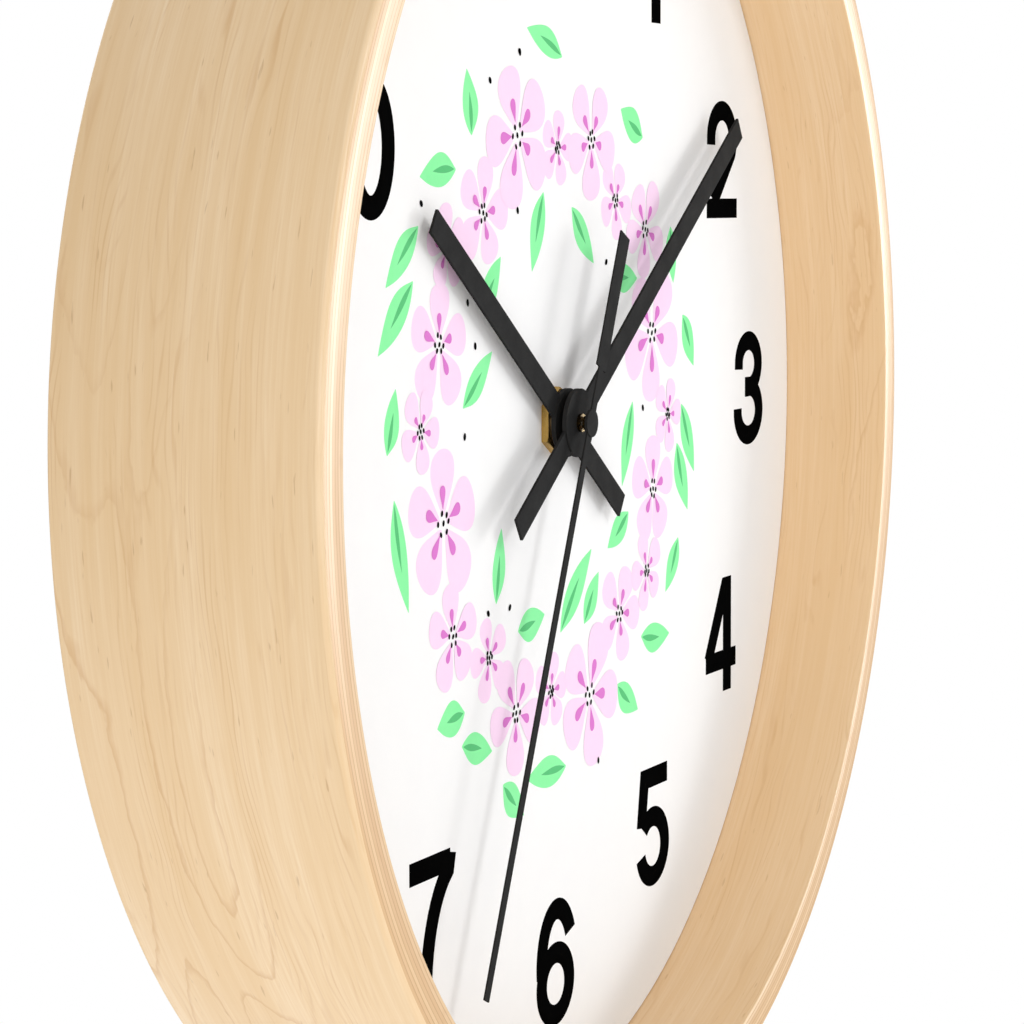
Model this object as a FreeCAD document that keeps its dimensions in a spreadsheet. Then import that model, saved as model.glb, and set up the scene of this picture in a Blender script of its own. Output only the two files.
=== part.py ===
"""Round wall clock: a deep bentwood hoop, a printed dial, three baton hands and a quartz movement.

Millimetres. +X is to the right and +Z up for someone who looks at the dial, and +Y points into the wall.
The origin is the centre of the hanger's nail hole, at the hanger's back face.
Bodies are built lying flat and stood up, so that their own +Z points forward, out of the dial.
"""

import FreeCAD, Part
import math
import os

import Sketcher
from FreeCAD import Placement, Rotation, Vector

# Driving sizes: sheet alias and value.
SIZES = [
    ("hoop_outer_radius", 127.0),
    ("hoop_wall", 6.8),
    ("hoop_depth", 44.0),
    ("hoop_edge_round", 1.0),
    ("dial_recess", 21.35),
    ("dial_clearance", 0.2),
    ("dial_thickness", 0.35),
    ("board_thickness", 3.0),
    ("glue_block_size", 9.0),
    ("glue_block_overrun", 1.0),
    ("gasket_thickness", 0.8),
    ("gasket_radius", 14.0),
    ("case_corner_radius", 4.0),
    ("case_wall", 1.2),
    ("case_front_wall", 1.0),
    ("cover_thickness", 1.5),
    ("cell_play", 0.1),
    ("bay_margin", 0.9),
    ("contact_gap", 1.55),
    ("motor_room", 9.3),
    ("train_room", 0.9),
    ("post_radius", 1.5),
    ("hanger_width", 16.0),
    ("hanger_thickness", 2.5),
    ("nail_hole_radius", 3.5),
    ("hanger_rise", 8.0),
    ("hanger_foot_rise", 2.0),
    ("hanger_foot_setback", 3.0),
    ("bush_radius", 3.9),
    ("bush_stand", 1.75),
    ("bush_flange_radius", 5.2),
    ("bush_flange_thickness", 0.4),
    ("bush_hole_clearance", 0.15),
    ("nut_across_flats", 10.8),
    ("nut_thickness", 1.3),
    ("hour_pipe_radius", 2.75),
    ("minute_arbor_radius", 1.6),
    ("second_arbor_radius", 0.5),
    ("running_clearance", 0.06),
    ("pivot_radius", 0.45),
    ("pivot_depth", 0.6),
    ("hand_width", 4.4),
    ("hand_boss_radius", 6.0),
    ("hand_boss_height", 0.8),
    ("hand_sheet", 0.5),
    ("hour_hand_stand", 2.1),
    ("hour_hand_reach", 63.3),
    ("hour_hand_tail", 29.9),
    ("minute_hand_stand", 4.2),
    ("minute_hand_reach", 95.2),
    ("minute_hand_tail", 29.9),
    ("second_hand_stand", 6.85),
    ("second_hand_reach", 102.3),
    ("second_hand_tail", 35.9),
    ("second_hand_width", 1.9),
    ("counterweight_start", 10.3),
    ("counterweight_width", 4.14),
    ("second_cap_radius", 2.45),
    ("second_tube_radius", 1.2),
    ("second_tube_length", 1.0),
    ("hour_pipe_overrun", 0.9),
    ("minute_arbor_overrun", 1.3),
    ("hour_hand_angle", 304.0),
    ("minute_hand_angle", 56.6),
    ("second_hand_angle", 205.5),
    ("motion_distance", 8.0),
    ("train_distance", 8.6),
    ("wheel_thickness", 0.8),
    ("pinion_overrun", 0.1),
    ("shake", 0.1),
    ("motion_wheel_thickness", 1.0),
    ("hour_wheel_level", 0.6),
    ("minute_pinion_level", 2.2),
    ("plate_level", 3.6),
    ("plate_thickness", 0.6),
    ("centre_wheel_level", 4.8),
    ("third_wheel_level", 6.4),
    ("second_wheel_level", 8.2),
    ("intermediate_wheel_level", 10.0),
    ("setting_shaft_radius", 1.2),
    ("collar_radius", 2.4),
    ("clutch_radius", 3.4),
    ("clutch_thickness", 0.3),
    ("knob_radius", 5.0),
    ("knob_thickness", 2.0),
    ("knob_groove_radius", 0.75),
    ("rotor_radius", 3.0),
    ("rotor_length", 2.4),
    ("stator_gap", 0.5),
    ("stator_level", 6.5),
    ("stator_thickness", 0.8),
    ("stator_half_width", 18.0),
    ("stator_rim", 0.45),
    ("stator_arm_width", 5.5),
    ("stator_arm_head", 2.6),
    ("core_half_width", 1.2),
    ("coil_gap", 0.45),
    ("coil_radius", 3.0),
    ("coil_length", 22.0),
    ("coil_flange_rim", 0.25),
    ("coil_flange_thickness", 0.8),
    ("barrel_radius", 1.7),
    ("circuit_level", 9.6),
    ("circuit_thickness", 1.0),
    ("circuit_setback", 1.9),
    ("circuit_top", 11.0),
    ("circuit_margin", 0.8),
    ("chip_width", 4.5),
    ("chip_height", 1.0),
    ("crystal_radius", 0.9),
    ("crystal_length", 6.0),
    ("contact_thickness", 0.4),
    ("contact_width", 2.6),
    ("contact_inset", 3.0),
    ("contact_half_height", 4.0),
    ("contact_pad_length", 4.0),
    ("contact_pad_height", 1.6),
    ("battery_radius", 7.15),
    ("battery_length", 50.5),
    ("battery_tip_radius", 2.7),
    ("battery_tip_length", 1.3),
]

doc = FreeCAD.newDocument("wall_clock")
sheet = doc.addObject("Spreadsheet::Sheet", "Sizes")
for row, (alias, number) in enumerate(SIZES, start=1):
    sheet.set("A%d" % row, alias)
    sheet.set("B%d" % row, str(number))
    sheet.setAlias("B%d" % row, alias)
doc.recompute()


class Size:
    """A number together with the sheet expression that gives it."""

    def __init__(self, number, text):
        self.number = float(number)
        self.text = text

    def __add__(self, other):
        other = as_size(other)
        return Size(self.number + other.number, "(%s + %s)" % (self.text, other.text))

    def __sub__(self, other):
        other = as_size(other)
        return Size(self.number - other.number, "(%s - %s)" % (self.text, other.text))

    def __rsub__(self, other):
        return as_size(other) - self

    def __mul__(self, other):
        other = as_size(other)
        return Size(self.number * other.number, "(%s * %s)" % (self.text, other.text))

    def __truediv__(self, other):
        other = as_size(other)
        return Size(self.number / other.number, "(%s / %s)" % (self.text, other.text))

    def __neg__(self):
        return as_size(0) - self


def as_size(value):
    """A Size from a Size or from a plain number."""
    if isinstance(value, Size):
        return value
    return Size(value, repr(float(value)))


def size(alias):
    """The Size that the sheet holds under an alias."""
    return Size(float(sheet.get(alias)), "Sizes." + alias)


def bind(target, name, value):
    """Ties one property of an object to its sheet expression."""
    target.setExpression(name, as_size(value).text)


def stand_up(target, x, y, z, turn=0.0):
    """Turns a flat-built object so that its +Z points forward, and puts its origin at x, y, z.

    The turn, in degrees, is about its own axis and comes first.
    """
    x, y, z = as_size(x), as_size(y), as_size(z)
    upright = Rotation(Vector(1, 0, 0), 90) * Rotation(Vector(0, 0, 1), turn)
    target.Placement = Placement(Vector(x.number, y.number, z.number), upright)
    bind(target, ".Placement.Base.x", x)
    bind(target, ".Placement.Base.y", y)
    bind(target, ".Placement.Base.z", z)
    return target


def rod(name, radius, rear, front, x, z):
    """A cylinder along Y, from the plane y = rear forward to y = front."""
    solid = doc.addObject("Part::Cylinder", name)
    bind(solid, "Radius", radius)
    bind(solid, "Height", as_size(rear) - front)
    return stand_up(solid, x, rear, z)


def cross_rod(name, radius, left, right, y, z):
    """A cylinder along X, from x = left to x = right."""
    left, right, y, z = as_size(left), as_size(right), as_size(y), as_size(z)
    solid = doc.addObject("Part::Cylinder", name)
    bind(solid, "Radius", radius)
    bind(solid, "Height", right - left)
    solid.Placement = Placement(Vector(left.number, y.number, z.number), Rotation(Vector(0, 1, 0), 90))
    bind(solid, ".Placement.Base.x", left)
    bind(solid, ".Placement.Base.y", y)
    bind(solid, ".Placement.Base.z", z)
    return solid


def block(name, left, right, front, rear, low, high):
    """A box between two planes on each axis."""
    solid = doc.addObject("Part::Box", name)
    bind(solid, "Length", as_size(right) - left)
    bind(solid, "Width", as_size(rear) - front)
    bind(solid, "Height", as_size(high) - low)
    bind(solid, ".Placement.Base.x", left)
    bind(solid, ".Placement.Base.y", front)
    bind(solid, ".Placement.Base.z", low)
    return solid


def join(name, shapes):
    """One solid from several that touch or overlap."""
    if len(shapes) == 1:
        return shapes[0]
    union = doc.addObject("Part::MultiFuse", name)
    union.Shapes = shapes
    union.Refine = True
    return union


def cut(name, base, tools):
    """A solid with the tools taken out of it."""
    result = doc.addObject("Part::Cut", name)
    result.Base = base
    result.Tool = join(name + "_tools", tools)
    return result


def new_body(name):
    """A PartDesign body and the sketch on its XY plane."""
    body = doc.addObject("PartDesign::Body", name)
    return body, new_sketch(body, name + "_profile")


def new_sketch(body, name):
    """A sketch on a body's own XY plane."""
    sketch = body.newObject("Sketcher::SketchObject", name)
    plane = [item for item in body.Origin.OriginFeatures if item.Role == "XY_Plane"][0]
    sketch.AttachmentSupport = [(plane, "")]
    sketch.MapMode = "FlatFace"
    return sketch


def constrain(sketch, constraint, value):
    """Adds a constraint whose size comes from the sheet."""
    index = sketch.addConstraint(constraint)
    label = "size%d" % index
    sketch.renameConstraint(index, label)
    bind(sketch, "Constraints." + label, value)


def pin_point(sketch, edge, point, x, y):
    """Fixes one point of a sketch edge at x, y from the sketch's origin."""
    x, y = as_size(x), as_size(y)
    constrain(sketch, Sketcher.Constraint("DistanceX", -1, 1, edge, point, x.number), x)
    constrain(sketch, Sketcher.Constraint("DistanceY", -1, 1, edge, point, y.number), y)


def draw_circle(sketch, radius, x=0, y=0):
    """A circle with its centre and radius tied to the sheet."""
    radius, x, y = as_size(radius), as_size(x), as_size(y)
    centre = Vector(x.number, y.number, 0)
    edge = sketch.addGeometry(Part.Circle(centre, Vector(0, 0, 1), radius.number))
    pin_point(sketch, edge, 3, x, y)
    constrain(sketch, Sketcher.Constraint("Radius", edge, radius.number), radius)


def draw_outline(sketch, corners):
    """A closed outline of straight edges, each corner tied to the sheet."""
    points = [(as_size(x), as_size(y)) for x, y in corners]
    edges = []
    for start, end in zip(points, points[1:] + points[:1]):
        first = Vector(start[0].number, start[1].number, 0)
        last = Vector(end[0].number, end[1].number, 0)
        edges.append(sketch.addGeometry(Part.LineSegment(first, last)))
    for edge, following in zip(edges, edges[1:] + edges[:1]):
        sketch.addConstraint(Sketcher.Constraint("Coincident", edge, 2, following, 1))
    for edge, point in zip(edges, points):
        pin_point(sketch, edge, 1, point[0], point[1])


def rectangle(left, right, low, high):
    """The corners of a rectangle."""
    return [(left, low), (right, low), (right, high), (left, high)]


def pad(body, sketch, thickness):
    """Pads a sketch forward by a thickness."""
    feature = body.newObject("PartDesign::Pad", sketch.Name + "_pad")
    feature.Profile = sketch
    bind(feature, "Length", thickness)
    body.Tip = feature
    return feature


def pocket_through(body, sketch):
    """Cuts a sketch right through a body, both ways."""
    feature = body.newObject("PartDesign::Pocket", sketch.Name + "_pocket")
    feature.Profile = sketch
    feature.Type = "ThroughAll"
    feature.Midplane = True
    body.Tip = feature
    return feature


def plate(name, outline, holes, rear, thickness, x, z):
    """A flat plate with round holes: outline is a radius or a list of corners."""
    body, sketch = new_body(name)
    if isinstance(outline, list):
        draw_outline(sketch, outline)
    else:
        draw_circle(sketch, outline)
    for hole_x, hole_z, hole_radius in holes:
        draw_circle(sketch, hole_radius, hole_x, hole_z)
    pad(body, sketch, thickness)
    return stand_up(body, x, rear, z)


# Planes across the clock, worked out from the hanger's back face forward.
cover_back_y = as_size(0)
cover_y = cover_back_y - size("cover_thickness")
case_depth = size("case_front_wall") + (size("battery_radius") + size("cell_play")) * 2
case_front_y = cover_back_y - case_depth
chamber_y = case_front_y + size("case_front_wall")
board_back_y = case_front_y - size("gasket_thickness")
board_y = board_back_y - size("board_thickness")
dial_y = board_y - size("dial_thickness")
hoop_front_y = dial_y - size("dial_recess")
wall_y = hoop_front_y + size("hoop_depth")
hoop_inner_radius = size("hoop_outer_radius") - size("hoop_wall")

# Distances between the wheels' axes, and the room that the wheels and the motor need round the hands' axis.
intermediate_distance = size("train_distance") + 0.4
rotor_distance = size("train_distance") - 0.1
chamber_rise = intermediate_distance + rotor_distance + size("motor_room")
chamber_drop = size("train_distance") + size("train_room")
circuit_left = size("train_distance") + size("circuit_setback")

# The case: the gear chamber round the hands' axis, and the battery bay below it.
axis_x = as_size(0)
axis_z = -(chamber_rise + size("case_wall") + size("hanger_rise"))
chamber_half = size("battery_length") / 2 + size("contact_gap")
case_half = chamber_half + size("case_wall")
chamber_high_z = axis_z + chamber_rise
chamber_low_z = axis_z - chamber_drop
bay_high_z = chamber_low_z - size("case_wall")
bay_low_z = bay_high_z - (size("battery_radius") + size("bay_margin")) * 2
case_high_z = chamber_high_z + size("case_wall")
case_low_z = bay_low_z - size("case_wall")
battery_z = (bay_low_z + bay_high_z) / 2
battery_y = chamber_y + size("battery_radius") + size("cell_play")


def level(alias, extra=0.0):
    """The plane y at a depth behind the inside face of the case's front wall."""
    return chamber_y + size(alias) + extra


def from_hub(angle, distance, start=None):
    """The point (x, z) at a distance and an angle (degrees, from +X towards +Z) from a start point."""
    start_x, start_z = start if start else (axis_x, axis_z)
    turn = math.radians(angle)
    return start_x + distance * math.cos(turn), start_z + distance * math.sin(turn)


# Gear axes.
REVERSE_ANGLE = 150.0
SETTING_ANGLE = 150.0
THIRD_ANGLE = 20.0
INTERMEDIATE_ANGLE = 110.0
ROTOR_ANGLE = 60.0
hub = (axis_x, axis_z)
reverse_axis = from_hub(REVERSE_ANGLE, size("motion_distance"))
setting_axis = from_hub(SETTING_ANGLE, size("motion_distance"), reverse_axis)
third_axis = from_hub(THIRD_ANGLE, size("train_distance"))
intermediate_axis = from_hub(INTERMEDIATE_ANGLE, intermediate_distance)
rotor_axis = from_hub(ROTOR_ANGLE, rotor_distance, intermediate_axis)

# The motor's own heights, counted from the hands' axis.
rotor_rise = rotor_axis[1] - axis_z
rotor_hole_radius = size("rotor_radius") + size("stator_gap")
bar_low = rotor_rise - rotor_hole_radius - size("stator_rim")
bar_high = rotor_rise + rotor_hole_radius + size("stator_rim")
coil_rise = bar_high + size("coil_gap") + size("coil_radius")

# The nut's turn, in degrees, which puts two of its corners straight up and down.
NUT_TURN = 30.0

# Tooth counts.
HOUR_TEETH = 32
REVERSE_PINION_TEETH = 8
REVERSE_TEETH = 30
MINUTE_PINION_TEETH = 10
SETTING_TEETH = 10
CENTRE_TEETH = 64
THIRD_PINION_TEETH = 8
THIRD_TEETH = 60
SECOND_PINION_TEETH = 8
SECOND_TEETH = 32
INTERMEDIATE_PINION_TEETH = 8
INTERMEDIATE_TEETH = 60
ROTOR_PINION_TEETH = 8

PRESSURE_ANGLE = math.radians(30.0)
ADDENDUM = 0.8
DEDENDUM = 1.05
TOOTH_SHARE = 0.43
FLANK_STEPS = 4


def involute(angle):
    """The involute function of a pressure angle."""
    return math.tan(angle) - angle


def gear_face(teeth, module, phase):
    """A flat spur gear about the origin, with the middle of one tooth at the angle phase, in degrees."""
    pitch_radius = teeth * module / 2
    base_radius = pitch_radius * math.cos(PRESSURE_ANGLE)
    tip_radius = pitch_radius + ADDENDUM * module
    root_radius = pitch_radius - DEDENDUM * module
    half_tooth = math.pi * TOOTH_SHARE / teeth
    start_radius = max(base_radius, root_radius)
    points = []
    for tooth in range(teeth):
        middle = math.radians(phase) + 2 * math.pi * tooth / teeth
        flank = []
        for step in range(FLANK_STEPS + 1):
            radius = start_radius + (tip_radius - start_radius) * step / FLANK_STEPS
            spread = involute(math.acos(min(1.0, base_radius / radius))) - involute(PRESSURE_ANGLE)
            flank.append((radius, half_tooth - spread))
        if root_radius < start_radius:
            flank.insert(0, (root_radius, flank[0][1]))
        leading = [(radius, middle - half) for radius, half in flank]
        trailing = [(radius, middle + half) for radius, half in reversed(flank)]
        for radius, angle in leading + trailing:
            points.append(Vector(radius * math.cos(angle), radius * math.sin(angle), 0))
    points.append(points[0])
    return Part.Face(Part.makePolygon(points))


def gear(teeth, module, phase, rear, thickness, axis):
    """A spur gear's solid, standing across Y on its axis, from the plane y = rear forward."""
    solid = gear_face(teeth, module, phase).extrude(Vector(0, 0, as_size(thickness).number))
    upright = Rotation(Vector(1, 0, 0), 90)
    solid.Placement = Placement(Vector(axis[0].number, as_size(rear).number, axis[1].number), upright)
    return solid


def shaft(radius, rear, front, axis):
    """A plain cylinder along Y as a bare solid."""
    start = Vector(axis[0].number, as_size(rear).number, axis[1].number)
    length = as_size(rear).number - as_size(front).number
    return Part.makeCylinder(as_size(radius).number, length, start, Vector(0, -1, 0))


def turned_gear(name, solids, bores):
    """A gear wheel as one solid: its teeth, arbor and hub together, less its bores."""
    solid = solids[0].multiFuse(solids[1:]) if len(solids) > 1 else solids[0]
    for bore in bores:
        solid = solid.cut(bore)
    feature = doc.addObject("Part::Feature", name)
    feature.Shape = solid.removeSplitter()
    feature.Placement = Placement()
    return feature


def mate_phase(phase, teeth, direction, mate_teeth):
    """The phase of a gear that meshes with another, which lies at an angle, direction, from it."""
    pitch = 360.0 / teeth
    offset = (direction - phase) % pitch
    gap = direction + 180.0 + offset * teeth / mate_teeth
    return gap + 180.0 / mate_teeth


def pair_module(distance, teeth, mate_teeth):
    """The module of two gears on axes a distance apart."""
    return 2 * distance.number / (teeth + mate_teeth)


nodes = []


def keep(feature, name):
    """Names a finished piece and lists it for export."""
    feature.Label = name
    nodes.append(feature)
    return feature


def make_hoop():
    """The bentwood hoop, rounded on its front outer edge."""
    body, sketch = new_body("HoopBody")
    draw_circle(sketch, size("hoop_outer_radius"))
    draw_circle(sketch, hoop_inner_radius)
    ring = pad(body, sketch, size("hoop_depth"))
    stand_up(body, axis_x, wall_y, axis_z)
    doc.recompute()
    outer = size("hoop_outer_radius").number
    front = size("hoop_depth").number
    rim = 0
    for index, edge in enumerate(ring.Shape.Edges, start=1):
        box = edge.BoundBox
        if abs(box.ZMin - front) < 0.01 and abs(box.ZMax - front) < 0.01 and box.XMax > outer - 0.01:
            rim = index
    fillet = body.newObject("PartDesign::Fillet", "HoopEdge")
    fillet.Base = (ring, ["Edge%d" % rim])
    bind(fillet, "Radius", size("hoop_edge_round"))
    body.Tip = fillet
    keep(body, "wood_hoop")


def make_board():
    """The dial, the board behind it and the glue blocks that hold the board in the hoop."""
    hole = size("bush_radius") + size("bush_hole_clearance")
    disc_radius = hoop_inner_radius - size("dial_clearance")
    sheet_body = plate("DialBody", disc_radius, [(0, 0, hole)], board_y, size("dial_thickness"),
                       axis_x, axis_z)
    keep(sheet_body, "dial_sheet")
    board = plate("BoardBody", hoop_inner_radius, [(0, 0, hole)], board_back_y, size("board_thickness"),
                  axis_x, axis_z)
    keep(board, "backing_board")
    side = size("glue_block_size")
    blocks = []
    for index in range(6):
        blank = block("GlueBlank%d" % index, hoop_inner_radius - side,
                      hoop_inner_radius + size("glue_block_overrun"), 0, side, -side, side)
        limit = doc.addObject("Part::Cylinder", "GlueLimit%d" % index)
        bind(limit, "Radius", hoop_inner_radius)
        bind(limit, "Height", side)
        limit.Placement = Placement(Vector(0, 0, 0), Rotation(Vector(1, 0, 0), -90))
        trimmed = doc.addObject("Part::Common", "GlueBlock%d" % index)
        trimmed.Base = blank
        trimmed.Tool = limit
        turn = Rotation(Vector(0, 1, 0), 30.0 + 60.0 * index)
        trimmed.Placement = Placement(Vector(0, board_back_y.number, axis_z.number), turn)
        bind(trimmed, ".Placement.Base.y", board_back_y)
        bind(trimmed, ".Placement.Base.z", axis_z)
        blocks.append(trimmed)
    group = doc.addObject("Part::Compound", "GlueBlocks")
    group.Links = blocks
    keep(group, "glue_blocks")


def make_fixing():
    """What clamps the movement to the board: gasket, threaded bush and hex nut."""
    hole = size("bush_radius") + size("bush_hole_clearance")
    gasket = plate("GasketBody", size("gasket_radius"), [(0, 0, hole)], case_front_y,
                   size("gasket_thickness"), axis_x, axis_z)
    keep(gasket, "board_gasket")

    flange_rear = chamber_y + size("bush_flange_thickness")
    bush_front = dial_y - size("bush_stand")
    tube = rod("BushTube", size("bush_radius"), flange_rear, bush_front, axis_x, axis_z)
    flange = rod("BushFlange", size("bush_flange_radius"), flange_rear, chamber_y, axis_x, axis_z)
    bore_radius = size("hour_pipe_radius") + size("running_clearance")
    bore = rod("BushBore", bore_radius, flange_rear + 1.0, bush_front - 1.0, axis_x, axis_z)
    keep(cut("Bush", join("BushSolid", [tube, flange]), [bore]), "threaded_bush")

    prism = doc.addObject("Part::Prism", "NutPrism")
    prism.Polygon = 6
    bind(prism, "Circumradius", size("nut_across_flats") / math.sqrt(3.0))
    bind(prism, "Height", size("nut_thickness"))
    stand_up(prism, axis_x, dial_y, axis_z, NUT_TURN)
    cone = doc.addObject("Part::Cone", "NutChamfer")
    corner = size("nut_across_flats") / math.sqrt(3.0)
    bind(cone, "Radius1", corner + size("nut_thickness") * 1.2)
    bind(cone, "Radius2", corner - size("nut_thickness") * 0.3)
    bind(cone, "Height", size("nut_thickness"))
    stand_up(cone, axis_x, dial_y, axis_z)
    chamfered = doc.addObject("Part::Common", "NutBlank")
    chamfered.Base = prism
    chamfered.Tool = cone
    thread = rod("NutBore", size("bush_radius"), dial_y + 1.0, dial_y - size("nut_thickness") - 1.0,
                 axis_x, axis_z)
    keep(cut("Nut", chamfered, [thread]), "hex_nut")


# Post centres, counted from the hands' axis.
left_post_x = setting_axis[0] - axis_x - 6.34
plate_posts = [
    (left_post_x + 0.7, 2.7 - chamber_drop),
    (size("train_distance") - 0.6, 2.3 - chamber_drop),
    (left_post_x, setting_axis[1] - axis_z + 4.0),
    (as_size(11.0), rotor_rise - 0.2),
]
cover_posts = plate_posts[:3]
stator_post_x = size("stator_half_width") - size("stator_arm_width") / 2
stator_posts = [(-stator_post_x, coil_rise), (stator_post_x, coil_rise)]
circuit_post_x = chamber_half - 3.3
circuit_posts = [(circuit_post_x, 3.0 - chamber_drop), (circuit_post_x, size("circuit_top") - 2.5)]


def posts(name, places, rear, front):
    """Round posts at places counted from the hands' axis."""
    made = []
    for index, (x, z) in enumerate(places):
        made.append(rod("%s%d" % (name, index), size("post_radius"), rear, front, axis_x + x, axis_z + z))
    return made


def pivot_holes(name, axes, rear, front):
    """Bearing holes for arbor pivots."""
    radius = size("pivot_radius") + size("running_clearance")
    made = []
    for index, axis in enumerate(axes):
        made.append(rod("%s%d" % (name, index), radius, rear, front, axis[0], axis[1]))
    return made


def make_case():
    """The movement's case, with its battery bay, posts and hanger."""
    shell = block("CaseShell", axis_x - case_half, axis_x + case_half, case_front_y, cover_y,
                  case_low_z, case_high_z)
    doc.recompute()
    corners = doc.addObject("Part::Fillet", "CaseCorners")
    corners.Base = shell
    picked = []
    for index, edge in enumerate(shell.Shape.Edges, start=1):
        box = edge.BoundBox
        if box.YLength > box.XLength + box.ZLength:
            picked.append((index, size("case_corner_radius").number, size("case_corner_radius").number))
    corners.Edges = picked

    chamber = block("CaseChamber", axis_x - chamber_half, axis_x + chamber_half, chamber_y, cover_y + 1.0,
                    chamber_low_z, chamber_high_z)
    bay = block("CaseBay", axis_x - chamber_half, axis_x + chamber_half, chamber_y, cover_y + 1.0,
                bay_low_z, bay_high_z)
    bush_hole = rod("CaseBushHole", size("bush_radius"), chamber_y + 1.0, case_front_y - 1.0, axis_x, axis_z)
    slots = contact_slots()
    pivots = pivot_holes("CasePivot", [reverse_axis, setting_axis], chamber_y + 1.0,
                         chamber_y - size("pivot_depth"))
    hollow = cut("CaseHollow", corners, [chamber, bay, bush_hole] + slots + pivots)

    parts = [hollow]
    parts += posts("PlatePost", plate_posts, level("plate_level"), chamber_y)
    parts += posts("StatorPost", stator_posts, level("stator_level"), chamber_y)
    parts += posts("CircuitPost", circuit_posts, level("circuit_level"), chamber_y)
    cradle_rear = battery_y - size("battery_radius") * 0.28
    cradle_radius = size("battery_radius") + size("cell_play")
    for side in (-1, 1):
        middle = axis_x + chamber_half * side * 0.52
        rib = block("CradleRib%d" % side, middle - 1.0, middle + 1.0, chamber_y, cradle_rear, bay_low_z,
                    bay_high_z)
        groove = cross_rod("CradleGroove%d" % side, cradle_radius, middle - 2.0, middle + 2.0, battery_y,
                           battery_z)
        parts.append(cut("Cradle%d" % side, rib, [groove]))

    hanger_half = size("hanger_width") / 2
    hanger_front = -size("hanger_thickness")
    stem = block("HangerStem", axis_x - hanger_half, axis_x + hanger_half, hanger_front, 0,
                 case_high_z - 2.0, 0)
    foot = block("HangerFoot", axis_x - hanger_half, axis_x + hanger_half,
                 case_front_y + size("hanger_foot_setback"), cover_y, case_high_z - size("case_wall") / 2,
                 case_high_z + size("hanger_foot_rise"))
    head = rod("HangerHead", hanger_half, 0, hanger_front, axis_x, 0)
    nail = rod("HangerNailHole", size("nail_hole_radius"), 1.0, hanger_front - 1.0, axis_x, 0)
    relief = block("HangerRelief", axis_x - hanger_half - 1.0, axis_x + hanger_half + 1.0, cover_y, 1.0,
                   case_high_z - 3.0, case_high_z)
    parts.append(cut("Hanger", join("HangerSolid", [stem, foot, head]), [nail, relief]))
    keep(join("Case", parts), "movement_case")


def contact_slots():
    """The notches in the bay's upper wall that the two contact strips pass through."""
    strip = size("contact_thickness")
    rear = level("circuit_level") + size("circuit_thickness") + strip
    front = rear - size("contact_width") - 0.4
    opening = strip + 0.3
    low = bay_high_z - 0.5
    high = chamber_low_z + 0.5
    right = block("SlotRight", axis_x + chamber_half - opening, axis_x + chamber_half, front, cover_y + 1.0,
                  low, high)
    left = block("SlotLeft", axis_x - chamber_half, axis_x - chamber_half + opening, front, cover_y + 1.0,
                 low, high)
    return [right, left]


def make_middle_plate():
    """The bearing plate between the motion work and the going train."""
    corners = rectangle(left_post_x - 2.3, plate_posts[3][0] + 2.0, 0.3 - chamber_drop,
                        plate_posts[3][1] + 2.6)
    pivot = size("pivot_radius") + size("running_clearance")
    holes = [(0, 0, size("minute_arbor_radius") + size("running_clearance"))]
    for axis in (third_axis, intermediate_axis, rotor_axis, reverse_axis):
        holes.append((axis[0] - axis_x, axis[1] - axis_z, pivot))
    holes.append((setting_axis[0] - axis_x, setting_axis[1] - axis_z,
                  size("setting_shaft_radius") + size("running_clearance")))
    rear = level("plate_level") + size("plate_thickness")
    body = plate("MiddlePlateBody", corners, holes, rear, size("plate_thickness"), axis_x, axis_z)
    keep(body, "middle_plate")


def make_cover():
    """The gear chamber's cover, with posts that hold the plate and the stator down."""
    cover_low = bay_high_z + 0.3
    inset = size("case_wall") + 0.3
    slab = block("CoverSlab", axis_x - case_half + inset, axis_x + case_half - inset, cover_y, cover_back_y,
                 cover_low, case_high_z - inset)
    hold_plate = posts("CoverPost", cover_posts, cover_y, level("plate_level") + size("plate_thickness"))
    core_rear = level("stator_level") + size("stator_thickness") * 2
    hold_stator = posts("CoverStatorPost", stator_posts, cover_y, core_rear)
    tools = pivot_holes("CoverPivot", [third_axis, intermediate_axis, rotor_axis],
                        cover_y + size("pivot_depth"), cover_y - 1.0)
    tools.append(rod("CoverSecondPivot", size("second_arbor_radius") + size("running_clearance"),
                     cover_y + size("pivot_depth"), cover_y - 1.0, axis_x, axis_z))
    tools.append(rod("CoverSettingHole", size("setting_shaft_radius") + size("running_clearance"),
                     cover_back_y + 1.0, cover_y - 1.0, setting_axis[0], setting_axis[1]))
    solid = join("CoverSolid", [slab] + hold_plate + hold_stator)
    keep(cut("Cover", solid, tools), "rear_cover")


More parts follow.
